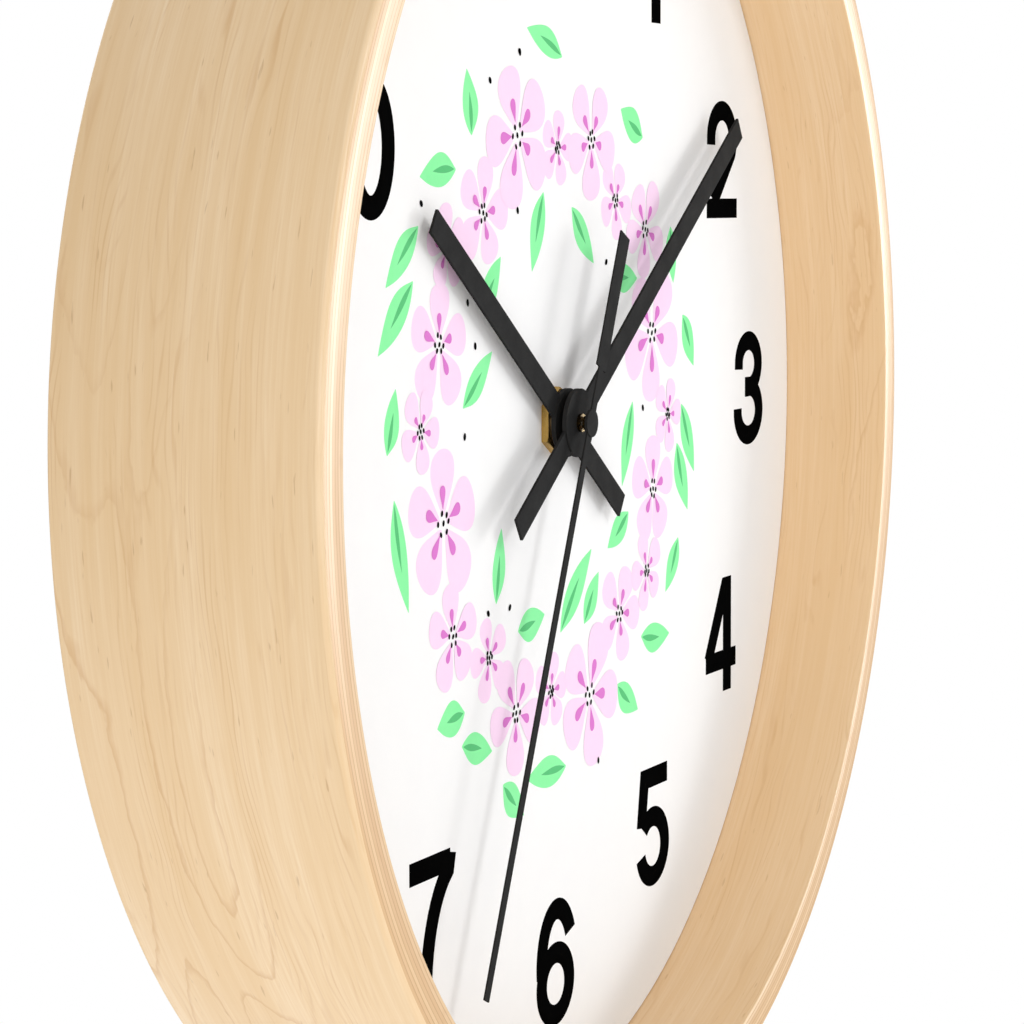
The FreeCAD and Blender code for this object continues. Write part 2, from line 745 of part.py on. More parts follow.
def make_motion_work():
    """Minute arbor, reverse wheel, hour wheel and the setting pinion with its knob."""
    module = pair_module(size("motion_distance"), MINUTE_PINION_TEETH, REVERSE_TEETH)
    pinion_rear = level("minute_pinion_level") + size("motion_wheel_thickness")
    wheel_rear = level("hour_wheel_level") + size("motion_wheel_thickness")
    thickness = size("motion_wheel_thickness")
    clearance = size("running_clearance")

    minute_phase = 0.0
    reverse_phase = mate_phase(minute_phase, MINUTE_PINION_TEETH, REVERSE_ANGLE, REVERSE_TEETH)
    setting_phase = mate_phase(reverse_phase, REVERSE_TEETH, SETTING_ANGLE, SETTING_TEETH)
    hour_phase = 0.0
    reverse_pinion_phase = mate_phase(hour_phase, HOUR_TEETH, REVERSE_ANGLE, REVERSE_PINION_TEETH)

    arbor_rear = level("centre_wheel_level") + size("wheel_thickness") + size("clutch_thickness") * 2
    arbor_front = dial_y - size("minute_hand_stand") - size("minute_arbor_overrun")
    collar_rear = level("centre_wheel_level") - size("shake") / 2
    solids = [
        gear(MINUTE_PINION_TEETH, module, minute_phase, pinion_rear, thickness, hub),
        shaft(size("minute_arbor_radius"), arbor_rear, arbor_front, hub),
        shaft(size("collar_radius"), collar_rear, level("plate_level") + size("plate_thickness") + 0.15, hub),
    ]
    bore = shaft(size("second_arbor_radius") + clearance, arbor_rear + 1.0, arbor_front - 1.0, hub)
    keep(turned_gear("MinuteArbor", solids, [bore]), "minute_arbor")

    pivot = size("pivot_radius")
    solids = [
        gear(REVERSE_TEETH, module, reverse_phase, pinion_rear, thickness, reverse_axis),
        gear(REVERSE_PINION_TEETH, module, reverse_pinion_phase, pinion_rear - 0.2, 2.4, reverse_axis),
        shaft(pivot, level("plate_level") + size("plate_thickness"),
              chamber_y - size("pivot_depth") + size("shake"), reverse_axis),
    ]
    keep(turned_gear("ReverseWheel", solids, []), "reverse_wheel")

    pipe_front = dial_y - size("hour_hand_stand") - size("hour_pipe_overrun")
    solids = [
        gear(HOUR_TEETH, module, hour_phase, wheel_rear, thickness, hub),
        shaft(size("hour_pipe_radius"), wheel_rear, pipe_front, hub),
    ]
    bore = shaft(size("minute_arbor_radius") + clearance, wheel_rear + 1.0, pipe_front - 1.0, hub)
    keep(turned_gear("HourWheel", solids, [bore]), "hour_wheel")

    knob_front = cover_back_y + 0.2
    knob_rear = knob_front + size("knob_thickness")
    solids = [
        gear(SETTING_TEETH, module, setting_phase, pinion_rear, thickness, setting_axis),
        shaft(pivot, pinion_rear, chamber_y - size("pivot_depth") + size("shake"), setting_axis),
        shaft(size("setting_shaft_radius"), knob_rear - 0.4, pinion_rear - 0.5, setting_axis),
    ]
    keep(turned_gear("SettingPinion", solids, []), "setting_pinion")

    rim = rod("KnobRim", size("knob_radius"), knob_rear, knob_front, setting_axis[0], setting_axis[1])
    tools = [rod("KnobBore", size("setting_shaft_radius"), knob_rear - 0.4, knob_front - 1.0,
                 setting_axis[0], setting_axis[1])]
    for index in range(12):
        groove_x, groove_z = from_hub(30.0 * index, size("knob_radius") + 0.3, setting_axis)
        tools.append(rod("KnobGroove%d" % index, size("knob_groove_radius"), knob_rear + 1.0,
                         knob_front - 1.0, groove_x, groove_z))
    keep(cut("Knob", rim, tools), "set_knob")


def make_going_train():
    """Rotor, intermediate, second, third and centre wheels."""
    thickness = size("wheel_thickness")
    pinion_extra = size("pinion_overrun")
    pivot = size("pivot_radius")
    pivot_front = level("plate_level") + size("shake")
    pivot_rear = cover_y + size("pivot_depth") - size("shake")

    centre_module = pair_module(size("train_distance"), CENTRE_TEETH, THIRD_PINION_TEETH)
    third_module = pair_module(size("train_distance"), THIRD_TEETH, SECOND_PINION_TEETH)
    second_module = pair_module(intermediate_distance, SECOND_TEETH, INTERMEDIATE_PINION_TEETH)
    rotor_module = pair_module(rotor_distance, INTERMEDIATE_TEETH, ROTOR_PINION_TEETH)

    centre_rear = level("centre_wheel_level") + thickness
    third_rear = level("third_wheel_level") + thickness
    second_rear = level("second_wheel_level") + thickness
    intermediate_rear = level("intermediate_wheel_level") + thickness

    third_pinion_phase = mate_phase(0.0, CENTRE_TEETH, THIRD_ANGLE, THIRD_PINION_TEETH)
    second_pinion_phase = mate_phase(0.0, THIRD_TEETH, THIRD_ANGLE + 180.0, SECOND_PINION_TEETH)
    intermediate_pinion_phase = mate_phase(0.0, SECOND_TEETH, INTERMEDIATE_ANGLE, INTERMEDIATE_PINION_TEETH)
    rotor_pinion_phase = mate_phase(0.0, INTERMEDIATE_TEETH, ROTOR_ANGLE, ROTOR_PINION_TEETH)

    bore_radius = size("minute_arbor_radius") + size("running_clearance")
    bore = shaft(bore_radius, centre_rear + 1.0, centre_rear - 3.0, hub)
    wheel = gear(CENTRE_TEETH, centre_module, 0.0, centre_rear, thickness, hub)
    keep(turned_gear("CentreWheel", [wheel], [bore]), "centre_wheel")

    clip_front = centre_rear + size("shake")
    clip_rear = clip_front + size("clutch_thickness")
    outer = shaft(size("clutch_radius"), clip_rear, clip_front, hub)
    inner = shaft(size("minute_arbor_radius"), clip_rear + 1.0, centre_rear - 1.0, hub)
    keep(turned_gear("ClutchSpring", [outer], [inner]), "clutch_spring")

    solids = [
        gear(THIRD_TEETH, third_module, 0.0, third_rear, thickness, third_axis),
        gear(THIRD_PINION_TEETH, centre_module, third_pinion_phase, third_rear - 0.2,
             third_rear - 0.2 - (centre_rear - thickness - pinion_extra), third_axis),
        shaft(pivot, pivot_rear, pivot_front, third_axis),
    ]
    keep(turned_gear("ThirdWheel", solids, []), "third_wheel")

    pinion_front = third_rear - thickness - pinion_extra
    solids = [
        gear(SECOND_TEETH, second_module, 0.0, second_rear, thickness, hub),
        gear(SECOND_PINION_TEETH, third_module, second_pinion_phase, second_rear - 0.2,
             second_rear - 0.2 - pinion_front, hub),
    ]
    bore = shaft(size("second_arbor_radius"), second_rear + 1.0, pinion_front - 1.0, hub)
    keep(turned_gear("SecondWheel", solids, [bore]), "second_wheel")
    arbor = rod("SecondArbor", size("second_arbor_radius"), pivot_rear, dial_y - size("second_hand_stand"),
                axis_x, axis_z)
    keep(arbor, "second_arbor")

    pinion_front = second_rear - thickness - pinion_extra
    solids = [
        gear(INTERMEDIATE_TEETH, rotor_module, 0.0, intermediate_rear, thickness, intermediate_axis),
        gear(INTERMEDIATE_PINION_TEETH, second_module, intermediate_pinion_phase, intermediate_rear - 0.2,
             intermediate_rear - 0.2 - pinion_front, intermediate_axis),
        shaft(pivot, pivot_rear, pivot_front, intermediate_axis),
    ]
    keep(turned_gear("IntermediateWheel", solids, []), "intermediate_wheel")

    magnet_front = level("stator_level") + size("stator_thickness") / 2 - size("rotor_length") / 2
    magnet_rear = magnet_front + size("rotor_length")
    magnet = shaft(size("rotor_radius"), magnet_rear, magnet_front, rotor_axis)
    hole = shaft(pivot, magnet_rear + 1.0, magnet_front - 1.0, rotor_axis)
    keep(turned_gear("RotorMagnet", [magnet], [hole]), "rotor_magnet")
    solids = [
        gear(ROTOR_PINION_TEETH, rotor_module, rotor_pinion_phase, intermediate_rear + pinion_extra,
             intermediate_rear + pinion_extra - magnet_rear - 0.1, rotor_axis),
        shaft(pivot, pivot_rear, pivot_front, rotor_axis),
    ]
    keep(turned_gear("RotorPinion", solids, []), "rotor_pinion")


def make_motor():
    """The stepping motor's still pieces: stator, core, bobbin and winding."""
    half = size("stator_half_width")
    arm = half - size("stator_arm_width")
    top = coil_rise + size("stator_arm_head")
    rear = level("stator_level") + size("stator_thickness")
    corners = [(-half, bar_low), (half, bar_low), (half, top), (arm, top), (arm, bar_high), (-arm, bar_high),
               (-arm, top), (-half, top)]
    hole = (rotor_axis[0] - axis_x, rotor_rise, rotor_hole_radius)
    stator = plate("StatorBody", corners, [hole], rear, size("stator_thickness"), axis_x, axis_z)
    keep(stator, "stator_plate")

    core_half = size("core_half_width")
    core_rear = rear + size("stator_thickness")
    coil_z = axis_z + coil_rise
    core = block("CoreStrip", axis_x - half, axis_x + half, rear, core_rear, coil_z - core_half,
                 coil_z + core_half)
    keep(core, "coil_core")

    coil_y = (rear + core_rear) / 2
    left = axis_x - size("coil_length") / 2
    right = axis_x + size("coil_length") / 2
    flange = size("coil_flange_thickness")
    flange_radius = size("coil_radius") + size("coil_flange_rim")
    barrel_radius = size("barrel_radius")
    barrel = cross_rod("BobbinBarrel", barrel_radius, left, right, coil_y, coil_z)
    left_flange = cross_rod("BobbinLeft", flange_radius, left, left + flange, coil_y, coil_z)
    right_flange = cross_rod("BobbinRight", flange_radius, right - flange, right, coil_y, coil_z)
    slot = block("BobbinSlot", left - 1.0, right + 1.0, rear, core_rear, coil_z - core_half,
                 coil_z + core_half)
    keep(cut("Bobbin", join("BobbinSolid", [barrel, left_flange, right_flange]), [slot]), "coil_bobbin")

    wire = cross_rod("WindingOuter", size("coil_radius"), left + flange, right - flange, coil_y, coil_z)
    inside = cross_rod("WindingInner", barrel_radius, left, right, coil_y, coil_z)
    keep(cut("Winding", wire, [inside]), "coil_winding")


def make_electronics():
    """Circuit board with its chip and crystal."""
    rear = level("circuit_level") + size("circuit_thickness")
    corners = rectangle(circuit_left, chamber_half - size("circuit_margin"),
                        size("circuit_margin") - chamber_drop, size("circuit_top"))
    board = plate("CircuitBody", corners, [], rear, size("circuit_thickness"), axis_x, axis_z)
    keep(board, "circuit_board")
    chip_left = axis_x + circuit_left + 2.5
    chip_low = axis_z - size("chip_width") / 3
    chip = block("Chip", chip_left, chip_left + size("chip_width"), rear, rear + size("chip_height"),
                 chip_low, chip_low + size("chip_width"))
    keep(chip, "control_chip")
    crystal_left = axis_x + circuit_left + 3.5
    crystal = cross_rod("Crystal", size("crystal_radius"), crystal_left,
                        crystal_left + size("crystal_length"), rear + size("crystal_radius"),
                        axis_z + size("circuit_top") - 4.0)
    keep(crystal, "quartz_crystal")


def make_contacts():
    """The strips that press on the cell's two ends and lead to the circuit board."""
    strip = size("contact_thickness")
    rear = level("circuit_level") + size("circuit_thickness")
    tab_rear = rear + strip
    tab_front = tab_rear - size("contact_width")
    face_front = battery_y - size("contact_half_height")
    low = bay_low_z + size("contact_inset")
    face_high = bay_high_z - size("contact_inset")
    pad_low = chamber_low_z + 0.9
    pad_high = pad_low + size("contact_pad_height")

    edge = axis_x + chamber_half
    wall = block("PositiveWall", edge - strip, edge, tab_front, tab_rear, low, pad_high)
    tab = block("PositivePad", edge - strip - size("contact_pad_length"), edge, rear, tab_rear, pad_low,
                pad_high)
    face = block("PositiveFace", edge - strip, edge, face_front, tab_rear, low, face_high)
    dimple = cross_rod("PositiveDimple", size("battery_tip_radius") / 1.5, edge - size("contact_gap"), edge,
                       battery_y, battery_z)
    keep(join("ContactPositive", [wall, tab, face, dimple]), "contact_positive")

    edge = axis_x - chamber_half
    run_low = chamber_low_z + 0.2
    run_right = axis_x + circuit_left + 2.0
    wall = block("NegativeWall", edge, edge + strip, tab_front, tab_rear, low, run_low + strip)
    run = block("NegativeRun", edge, run_right, tab_front, tab_rear, run_low, run_low + strip)
    tab = block("NegativePad", run_right - 1.5, run_right, rear, tab_rear, run_low, pad_high)
    face = block("NegativeFace", edge, edge + strip, face_front, tab_rear, low, face_high)
    cone = doc.addObject("Part::Cone", "NegativeSpring")
    bind(cone, "Radius1", size("contact_half_height"))
    bind(cone, "Radius2", size("contact_half_height") / 2)
    bind(cone, "Height", size("contact_gap"))
    place = Vector(edge.number, battery_y.number, battery_z.number)
    cone.Placement = Placement(place, Rotation(Vector(0, 1, 0), 90))
    bind(cone, ".Placement.Base.x", edge)
    bind(cone, ".Placement.Base.y", battery_y)
    bind(cone, ".Placement.Base.z", battery_z)
    keep(join("ContactNegative", [wall, run, tab, face, cone]), "contact_negative")


def make_battery():
    """The round cell in the bay, with its raised end to the right."""
    left = axis_x - size("battery_length") / 2
    right = axis_x + size("battery_length") / 2
    shoulder = right - size("battery_tip_length")
    can = cross_rod("BatteryCan", size("battery_radius"), left, shoulder, battery_y, battery_z)
    tip = cross_rod("BatteryTip", size("battery_tip_radius"), shoulder, right, battery_y, battery_z)
    keep(join("Battery", [can, tip]), "battery_cell")


def hand_blade(body, name, angle, outline, rear_thickness):
    """Pads a hand's blade, turned clockwise from twelve by an angle in degrees."""
    sketch = new_sketch(body, name)
    draw_outline(sketch, outline)
    turn = Rotation(Vector(0, 0, 1), -angle.number)
    sketch.AttachmentOffset = Placement(Vector(0, 0, 0), turn)
    bind(sketch, "AttachmentOffset.Rotation.Angle", -angle)
    return pad(body, sketch, rear_thickness)


def make_hand(name, angle, outline, stand, bore_radius):
    """A baton hand with a round boss, pressed on its arbor at a height in front of the dial."""
    body, boss = new_body(name)
    draw_circle(boss, size("hand_boss_radius"))
    pad(body, boss, size("hand_boss_height"))
    hand_blade(body, name + "_blade", angle, outline, size("hand_sheet"))
    bore = new_sketch(body, name + "_bore")
    draw_circle(bore, bore_radius)
    pocket_through(body, bore)
    return stand_up(body, axis_x, dial_y - stand, axis_z)


def make_hands():
    """The hour, minute and second hands."""
    half = size("hand_width") / 2
    outline = rectangle(-half, half, -size("hour_hand_tail"), size("hour_hand_reach"))
    hour = make_hand("HourHandBody", size("hour_hand_angle"), outline, size("hour_hand_stand"),
                     size("hour_pipe_radius"))
    keep(hour, "hour_hand")
    outline = rectangle(-half, half, -size("minute_hand_tail"), size("minute_hand_reach"))
    minute = make_hand("MinuteHandBody", size("minute_hand_angle"), outline, size("minute_hand_stand"),
                       size("minute_arbor_radius"))
    keep(minute, "minute_hand")

    thin = size("second_hand_width") / 2
    wide = size("counterweight_width") / 2
    start = size("counterweight_start")
    tail = size("second_hand_tail")
    reach = size("second_hand_reach")
    outline = [(-thin, reach), (-thin, -start), (-wide, -start), (-wide, -tail), (wide, -tail),
               (wide, -start), (thin, -start), (thin, reach)]
    body, cap = new_body("SecondHandBody")
    draw_circle(cap, size("second_cap_radius"))
    pad(body, cap, size("hand_sheet"))
    hand_blade(body, "SecondHandBlade", size("second_hand_angle"), outline, size("hand_sheet") * 0.6)
    stand_up(body, axis_x, dial_y - size("second_hand_stand"), axis_z)
    keep(body, "second_hand")

    tube_front = dial_y - size("second_hand_stand")
    tube_back = tube_front + size("second_tube_length")
    tube = rod("SecondTubeOuter", size("second_tube_radius"), tube_back, tube_front, axis_x, axis_z)
    bore = rod("SecondTubeBore", size("second_arbor_radius"), tube_back + 1.0, tube_front - 1.0,
               axis_x, axis_z)
    keep(cut("SecondTube", tube, [bore]), "second_hand_tube")


make_hoop()
make_board()
make_fixing()
make_case()
make_middle_plate()
make_cover()
make_motion_work()
make_going_train()
make_motor()
make_electronics()
make_contacts()
make_battery()
make_hands()
doc.recompute()

for item in doc.Objects:
    if "Invalid" in item.State or "Error" in item.State:
        raise RuntimeError("%s did not build: %s" % (item.Name, item.State))
os.makedirs("parts", exist_ok=True)
for piece in nodes:
    shape = piece.Shape
    if shape.isNull() or not shape.isValid() or not shape.Solids:
        raise RuntimeError("%s has no valid solid" % piece.Label)
for piece in nodes:
    piece.Shape.exportStep("parts/%s.step" % piece.Label)
    print("%-20s %2d solid(s) %10.2f mm3" % (piece.Label, len(piece.Shape.Solids), piece.Shape.Volume))
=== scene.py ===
"""Round wall clock in a deep bentwood hoop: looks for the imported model.

Metres, in the model's own frame: +X to the right and +Z up for someone who looks at the dial, and +Y
into the wall.
Flat pieces are drawn on the XY plane, as on a drawing board, and then stood up against the dial.
"""

import logging
import math
import random
from dataclasses import dataclass, field
from enum import Enum
from functools import cache
from typing import Iterable, Sequence

import bpy
from mathutils import Matrix, Vector


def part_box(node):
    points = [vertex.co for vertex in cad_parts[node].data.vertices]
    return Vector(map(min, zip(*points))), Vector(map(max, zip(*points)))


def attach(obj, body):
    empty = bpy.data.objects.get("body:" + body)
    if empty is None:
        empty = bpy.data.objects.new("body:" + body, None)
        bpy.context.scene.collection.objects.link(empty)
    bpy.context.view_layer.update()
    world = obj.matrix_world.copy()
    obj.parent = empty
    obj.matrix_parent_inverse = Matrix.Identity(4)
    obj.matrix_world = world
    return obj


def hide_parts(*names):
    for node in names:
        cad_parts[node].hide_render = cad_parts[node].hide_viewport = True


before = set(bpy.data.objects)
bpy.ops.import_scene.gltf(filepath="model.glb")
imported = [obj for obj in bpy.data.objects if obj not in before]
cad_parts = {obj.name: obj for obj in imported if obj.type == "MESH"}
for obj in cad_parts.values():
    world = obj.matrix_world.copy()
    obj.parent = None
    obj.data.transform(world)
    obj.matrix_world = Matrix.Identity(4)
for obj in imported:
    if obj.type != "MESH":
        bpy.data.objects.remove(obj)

LOG = logging.getLogger("wall_clock")
MM = 0.001
# A colour Mix node's own sockets: its two colours and its result.
MIX_FIRST, MIX_SECOND, MIX_RESULT = 6, 7, 2
WHITE = (1.0, 1.0, 1.0, 1.0)
# What a finish's material has after its name, because the frame's own materials have plain names.
SUFFIX = "_finish"

Colour = tuple[float, float, float, float]
Point = tuple[float, float]


def tint(red: int, green: int, blue: int) -> Colour:
    """Turns a display colour into the linear colour that a shader takes.

    Args:
        red: red, from 0 to 255.
        green: green, from 0 to 255.
        blue: blue, from 0 to 255.

    Returns:
        The linear colour with full alpha.
    """
    def linear(value: int) -> float:
        """Returns one channel in linear light."""
        share = value / 255
        return share / 12.92 if share <= 0.04045 else ((share + 0.055) / 1.055) ** 2.4

    return linear(red), linear(green), linear(blue), 1.0


class Pattern(Enum):
    """How a finish's markings lie on the piece."""

    MOTTLED = "mottled"
    TURNED = "turned"
    DRAWN = "drawn"
    WOUND = "wound"


class Graph:
    """A node tree with short ways to add and join nodes."""

    def __init__(self, tree: bpy.types.NodeTree) -> None:
        """Wraps a tree.

        Args:
            tree: the material's or group's node tree.
        """
        self.tree = tree

    def add(self, kind: str, **settings: object) -> bpy.types.Node:
        """Adds a node.

        Args:
            kind: the node's type name, without the leading ShaderNode.
            settings: attributes to set on it.

        Returns:
            The new node.
        """
        node = self.tree.nodes.new("ShaderNode" + kind)
        for name, value in settings.items():
            setattr(node, name, value)
        return node

    def feed(self, socket: bpy.types.NodeSocket, source: object) -> None:
        """Links an output to a socket, or sets the socket's own value.

        Args:
            socket: the input to fill.
            source: another node's output, or a plain value.
        """
        if isinstance(source, bpy.types.NodeSocket):
            self.tree.links.new(source, socket)
        else:
            socket.default_value = source

    def math(self, operation: str, first: object, second: object = 0.0) -> bpy.types.NodeSocket:
        """Adds a Math node and returns its output."""
        node = self.add("Math", operation=operation)
        self.feed(node.inputs[0], first)
        self.feed(node.inputs[1], second)
        return node.outputs[0]

    def mix(self, share: object, first: object, second: object) -> bpy.types.NodeSocket:
        """Mixes two colours, with share of the second, and returns the result."""
        node = self.add("Mix", data_type="RGBA")
        self.feed(node.inputs[0], share)
        self.feed(node.inputs[MIX_FIRST], first)
        self.feed(node.inputs[MIX_SECOND], second)
        return node.outputs[MIX_RESULT]

    def noise(self, vector: object, scale: object, detail: float, rough: float) -> bpy.types.NodeSocket:
        """Adds a noise texture and returns its value, about 0.5 on average."""
        node = self.add("TexNoise", noise_dimensions="3D")
        self.feed(node.inputs["Vector"], vector)
        self.feed(node.inputs["Scale"], scale)
        node.inputs["Detail"].default_value = detail
        node.inputs["Roughness"].default_value = rough
        return node.outputs[0]

    def from_centre(self, centre: Sequence[float]) -> bpy.types.NodeSocket:
        """Returns object coordinates counted from a point."""
        source = self.add("TexCoord")
        mapping = self.add("Mapping", vector_type="POINT")
        self.feed(mapping.inputs["Vector"], source.outputs["Object"])
        mapping.inputs["Location"].default_value = [-value for value in centre]
        return mapping.outputs[0]

    def stretch(self, vector: object, scale: Sequence[float]) -> bpy.types.NodeSocket:
        """Scales a vector by a different factor along each axis."""
        node = self.add("VectorMath", operation="MULTIPLY")
        self.feed(node.inputs[0], vector)
        node.inputs[1].default_value = scale
        return node.outputs[0]

    def fit(self, value: object, low: float, high: float, to_low: float,
            to_high: float) -> bpy.types.NodeSocket:
        """Maps a value from one range to another, held inside it."""
        node = self.add("MapRange")
        self.feed(node.inputs["Value"], value)
        node.inputs["From Min"].default_value = low
        node.inputs["From Max"].default_value = high
        node.inputs["To Min"].default_value = to_low
        node.inputs["To Max"].default_value = to_high
        return node.outputs[0]


def new_group(name: str, inputs: Sequence[tuple[str, str]], outputs: Sequence[tuple[str, str]]) -> tuple[
        bpy.types.NodeTree, Graph, bpy.types.Node, bpy.types.Node]:
    """Starts a shader node group.

    Args:
        name: the group's name.
        inputs: names and socket types of its inputs.
        outputs: names and socket types of its outputs.

    Returns:
        The tree, its graph, its input node and its output node.
    """
    tree = bpy.data.node_groups.new(name, "ShaderNodeTree")
    for label, kind in inputs:
        tree.interface.new_socket(label, in_out="INPUT", socket_type=kind)
    for label, kind in outputs:
        tree.interface.new_socket(label, in_out="OUTPUT", socket_type=kind)
    graph = Graph(tree)
    return tree, graph, tree.nodes.new("NodeGroupInput"), tree.nodes.new("NodeGroupOutput")


class Groups:
    """The shader groups that several finishes use, each built once."""

    @staticmethod
    @cache
    def mottle() -> bpy.types.NodeTree:
        """Soft patches of a second colour, with fine grain in the height."""
        tree, graph, source, sink = new_group(
            "mottle",
            [("Coordinates", "NodeSocketVector"), ("Scale", "NodeSocketFloat"), ("Amount", "NodeSocketFloat"),
             ("Base", "NodeSocketColor"), ("Second", "NodeSocketColor")],
            [("Colour", "NodeSocketColor"), ("Mask", "NodeSocketFloat"), ("Height", "NodeSocketFloat")])
        broad = graph.noise(source.outputs["Coordinates"], source.outputs["Scale"], 4.0, 0.55)
        fine_scale = graph.math("MULTIPLY", source.outputs["Scale"], 9.0)
        fine = graph.noise(source.outputs["Coordinates"], fine_scale, 2.0, 0.6)
        both = graph.math("ADD", graph.math("MULTIPLY", broad, 0.65), graph.math("MULTIPLY", fine, 0.35))
        mask = graph.fit(both, 0.36, 0.64, 0.0, 1.0)
        share = graph.math("MULTIPLY", mask, source.outputs["Amount"])
        colour = graph.mix(share, source.outputs["Base"], source.outputs["Second"])
        graph.feed(sink.inputs["Colour"], colour)
        graph.feed(sink.inputs["Mask"], mask)
        graph.feed(sink.inputs["Height"], fine)
        return tree

    @staticmethod
    @cache
    def polar() -> bpy.types.NodeTree:
        """Arc length, depth and radius round the Y axis, as one vector and as a plain radius."""
        tree, graph, source, sink = new_group(
            "polar", [("Coordinates", "NodeSocketVector"), ("Reach", "NodeSocketFloat")],
            [("Vector", "NodeSocketVector"), ("Radius", "NodeSocketFloat")])
        split = graph.add("SeparateXYZ")
        graph.feed(split.inputs[0], source.outputs["Coordinates"])
        across = graph.math("MULTIPLY", split.outputs["X"], split.outputs["X"])
        upward = graph.math("MULTIPLY", split.outputs["Z"], split.outputs["Z"])
        radius = graph.math("SQRT", graph.math("ADD", across, upward))
        turn = graph.math("ARCTAN2", split.outputs["X"], split.outputs["Z"])
        arc = graph.math("MULTIPLY", turn, source.outputs["Reach"])
        join = graph.add("CombineXYZ")
        graph.feed(join.inputs["X"], arc)
        graph.feed(join.inputs["Y"], split.outputs["Y"])
        graph.feed(join.inputs["Z"], radius)
        graph.feed(sink.inputs["Vector"], join.outputs[0])
        graph.feed(sink.inputs["Radius"], radius)
        return tree

    @staticmethod
    def place(graph: Graph, tree: bpy.types.NodeTree, **values: object) -> bpy.types.Node:
        """Puts a group into a material.

        Args:
            graph: the material's graph.
            tree: the group.
            values: its inputs by name.

        Returns:
            The group's node.
        """
        node = graph.add("Group")
        node.node_tree = tree
        for name, value in values.items():
            graph.feed(node.inputs[name], value)
        return node


class Recipe:
    """A named way to make a material."""

    name: str

    def material(self) -> bpy.types.Material:
        """Returns the material, made on first use."""
        return bpy.data.materials.get(self.name + SUFFIX) or self.make()

    def make(self) -> bpy.types.Material:
        """Builds the material."""
        raise NotImplementedError


@dataclass(frozen=True)
class Finish(Recipe):
    """A finish whose colour, gloss and relief vary over the surface."""

    name: str
    base: Colour
    second: Colour
    scale: float = 60.0
    amount: float = 0.6
    roughness: float = 0.5
    spread: float = 0.08
    relief: float = 0.02
    metallic: float = 0.0
    coat: float = 0.0
    gloss: float = 0.5
    pattern: Pattern = Pattern.MOTTLED
    centre: tuple[float, float, float] = (0.0, 0.0, 0.0)
    along: tuple[float, float, float] = (1.0, 1.0, 1.0)

    def laid_out(self, graph: Graph) -> bpy.types.NodeSocket:
        """Returns the coordinates that the markings follow."""
        vector = graph.from_centre(self.centre)
        if self.pattern is Pattern.TURNED:
            polar = Groups.place(graph, Groups.polar(), Coordinates=vector, Reach=0.002)
            return graph.stretch(polar.outputs["Vector"], (1.0, 12.0, 12.0))
        if self.pattern is Pattern.DRAWN:
            return graph.stretch(vector, self.along)
        return vector

    def make(self) -> bpy.types.Material:
        """Builds the material.

        Returns:
            A material with a Principled shader.
        """
        material, graph, shader = blank_material(self.name)
        spread = Groups.place(graph, Groups.mottle(), Coordinates=self.laid_out(graph), Scale=self.scale,
                              Amount=self.amount, Base=self.base, Second=self.second)
        height = spread.outputs["Height"]
        colour = spread.outputs["Colour"]
        if self.pattern is Pattern.WOUND:
            turns = graph.add("TexWave", wave_type="BANDS", bands_direction="X", wave_profile="SIN")
            graph.feed(turns.inputs["Vector"], graph.from_centre(self.centre))
            turns.inputs["Scale"].default_value = self.scale * 8.0
            turns.inputs["Distortion"].default_value = 0.6
            height = turns.outputs["Fac"]
            colour = graph.mix(graph.math("MULTIPLY", height, 0.5), colour, self.second)
        graph.feed(shader.inputs["Base Color"], colour)
        rough = graph.fit(spread.outputs["Mask"], 0.0, 1.0, self.roughness - self.spread,
                          self.roughness + self.spread)
        graph.feed(shader.inputs["Roughness"], rough)
        shader.inputs["Metallic"].default_value = self.metallic
        shader.inputs["Coat Weight"].default_value = self.coat
        shader.inputs["Specular IOR Level"].default_value = self.gloss
        add_relief(graph, shader, height, self.relief)
        return material


def blank_material(name: str) -> tuple[bpy.types.Material, Graph, bpy.types.Node]:
    """Starts a material.

    Args:
        name: the material's name.

    Returns:
        The material, its graph and its Principled shader.
    """
    material = bpy.data.materials.new(name + SUFFIX)
    material.use_nodes = True
    graph = Graph(material.node_tree)
    return material, graph, material.node_tree.nodes["Principled BSDF"]


def add_relief(graph: Graph, shader: bpy.types.Node, height: bpy.types.NodeSocket, depth_mm: float) -> None:
    """Adds a bump to a shader.

    Args:
        graph: the material's graph.
        shader: its shader.
        height: the height's output, from 0 to 1.
        depth_mm: how deep the relief is, in millimetres.
    """
    bump = graph.add("Bump")
    bump.inputs["Strength"].default_value = 1.0
    bump.inputs["Distance"].default_value = depth_mm * MM
    graph.feed(bump.inputs["Height"], height)
    graph.feed(shader.inputs["Normal"], bump.outputs[0])


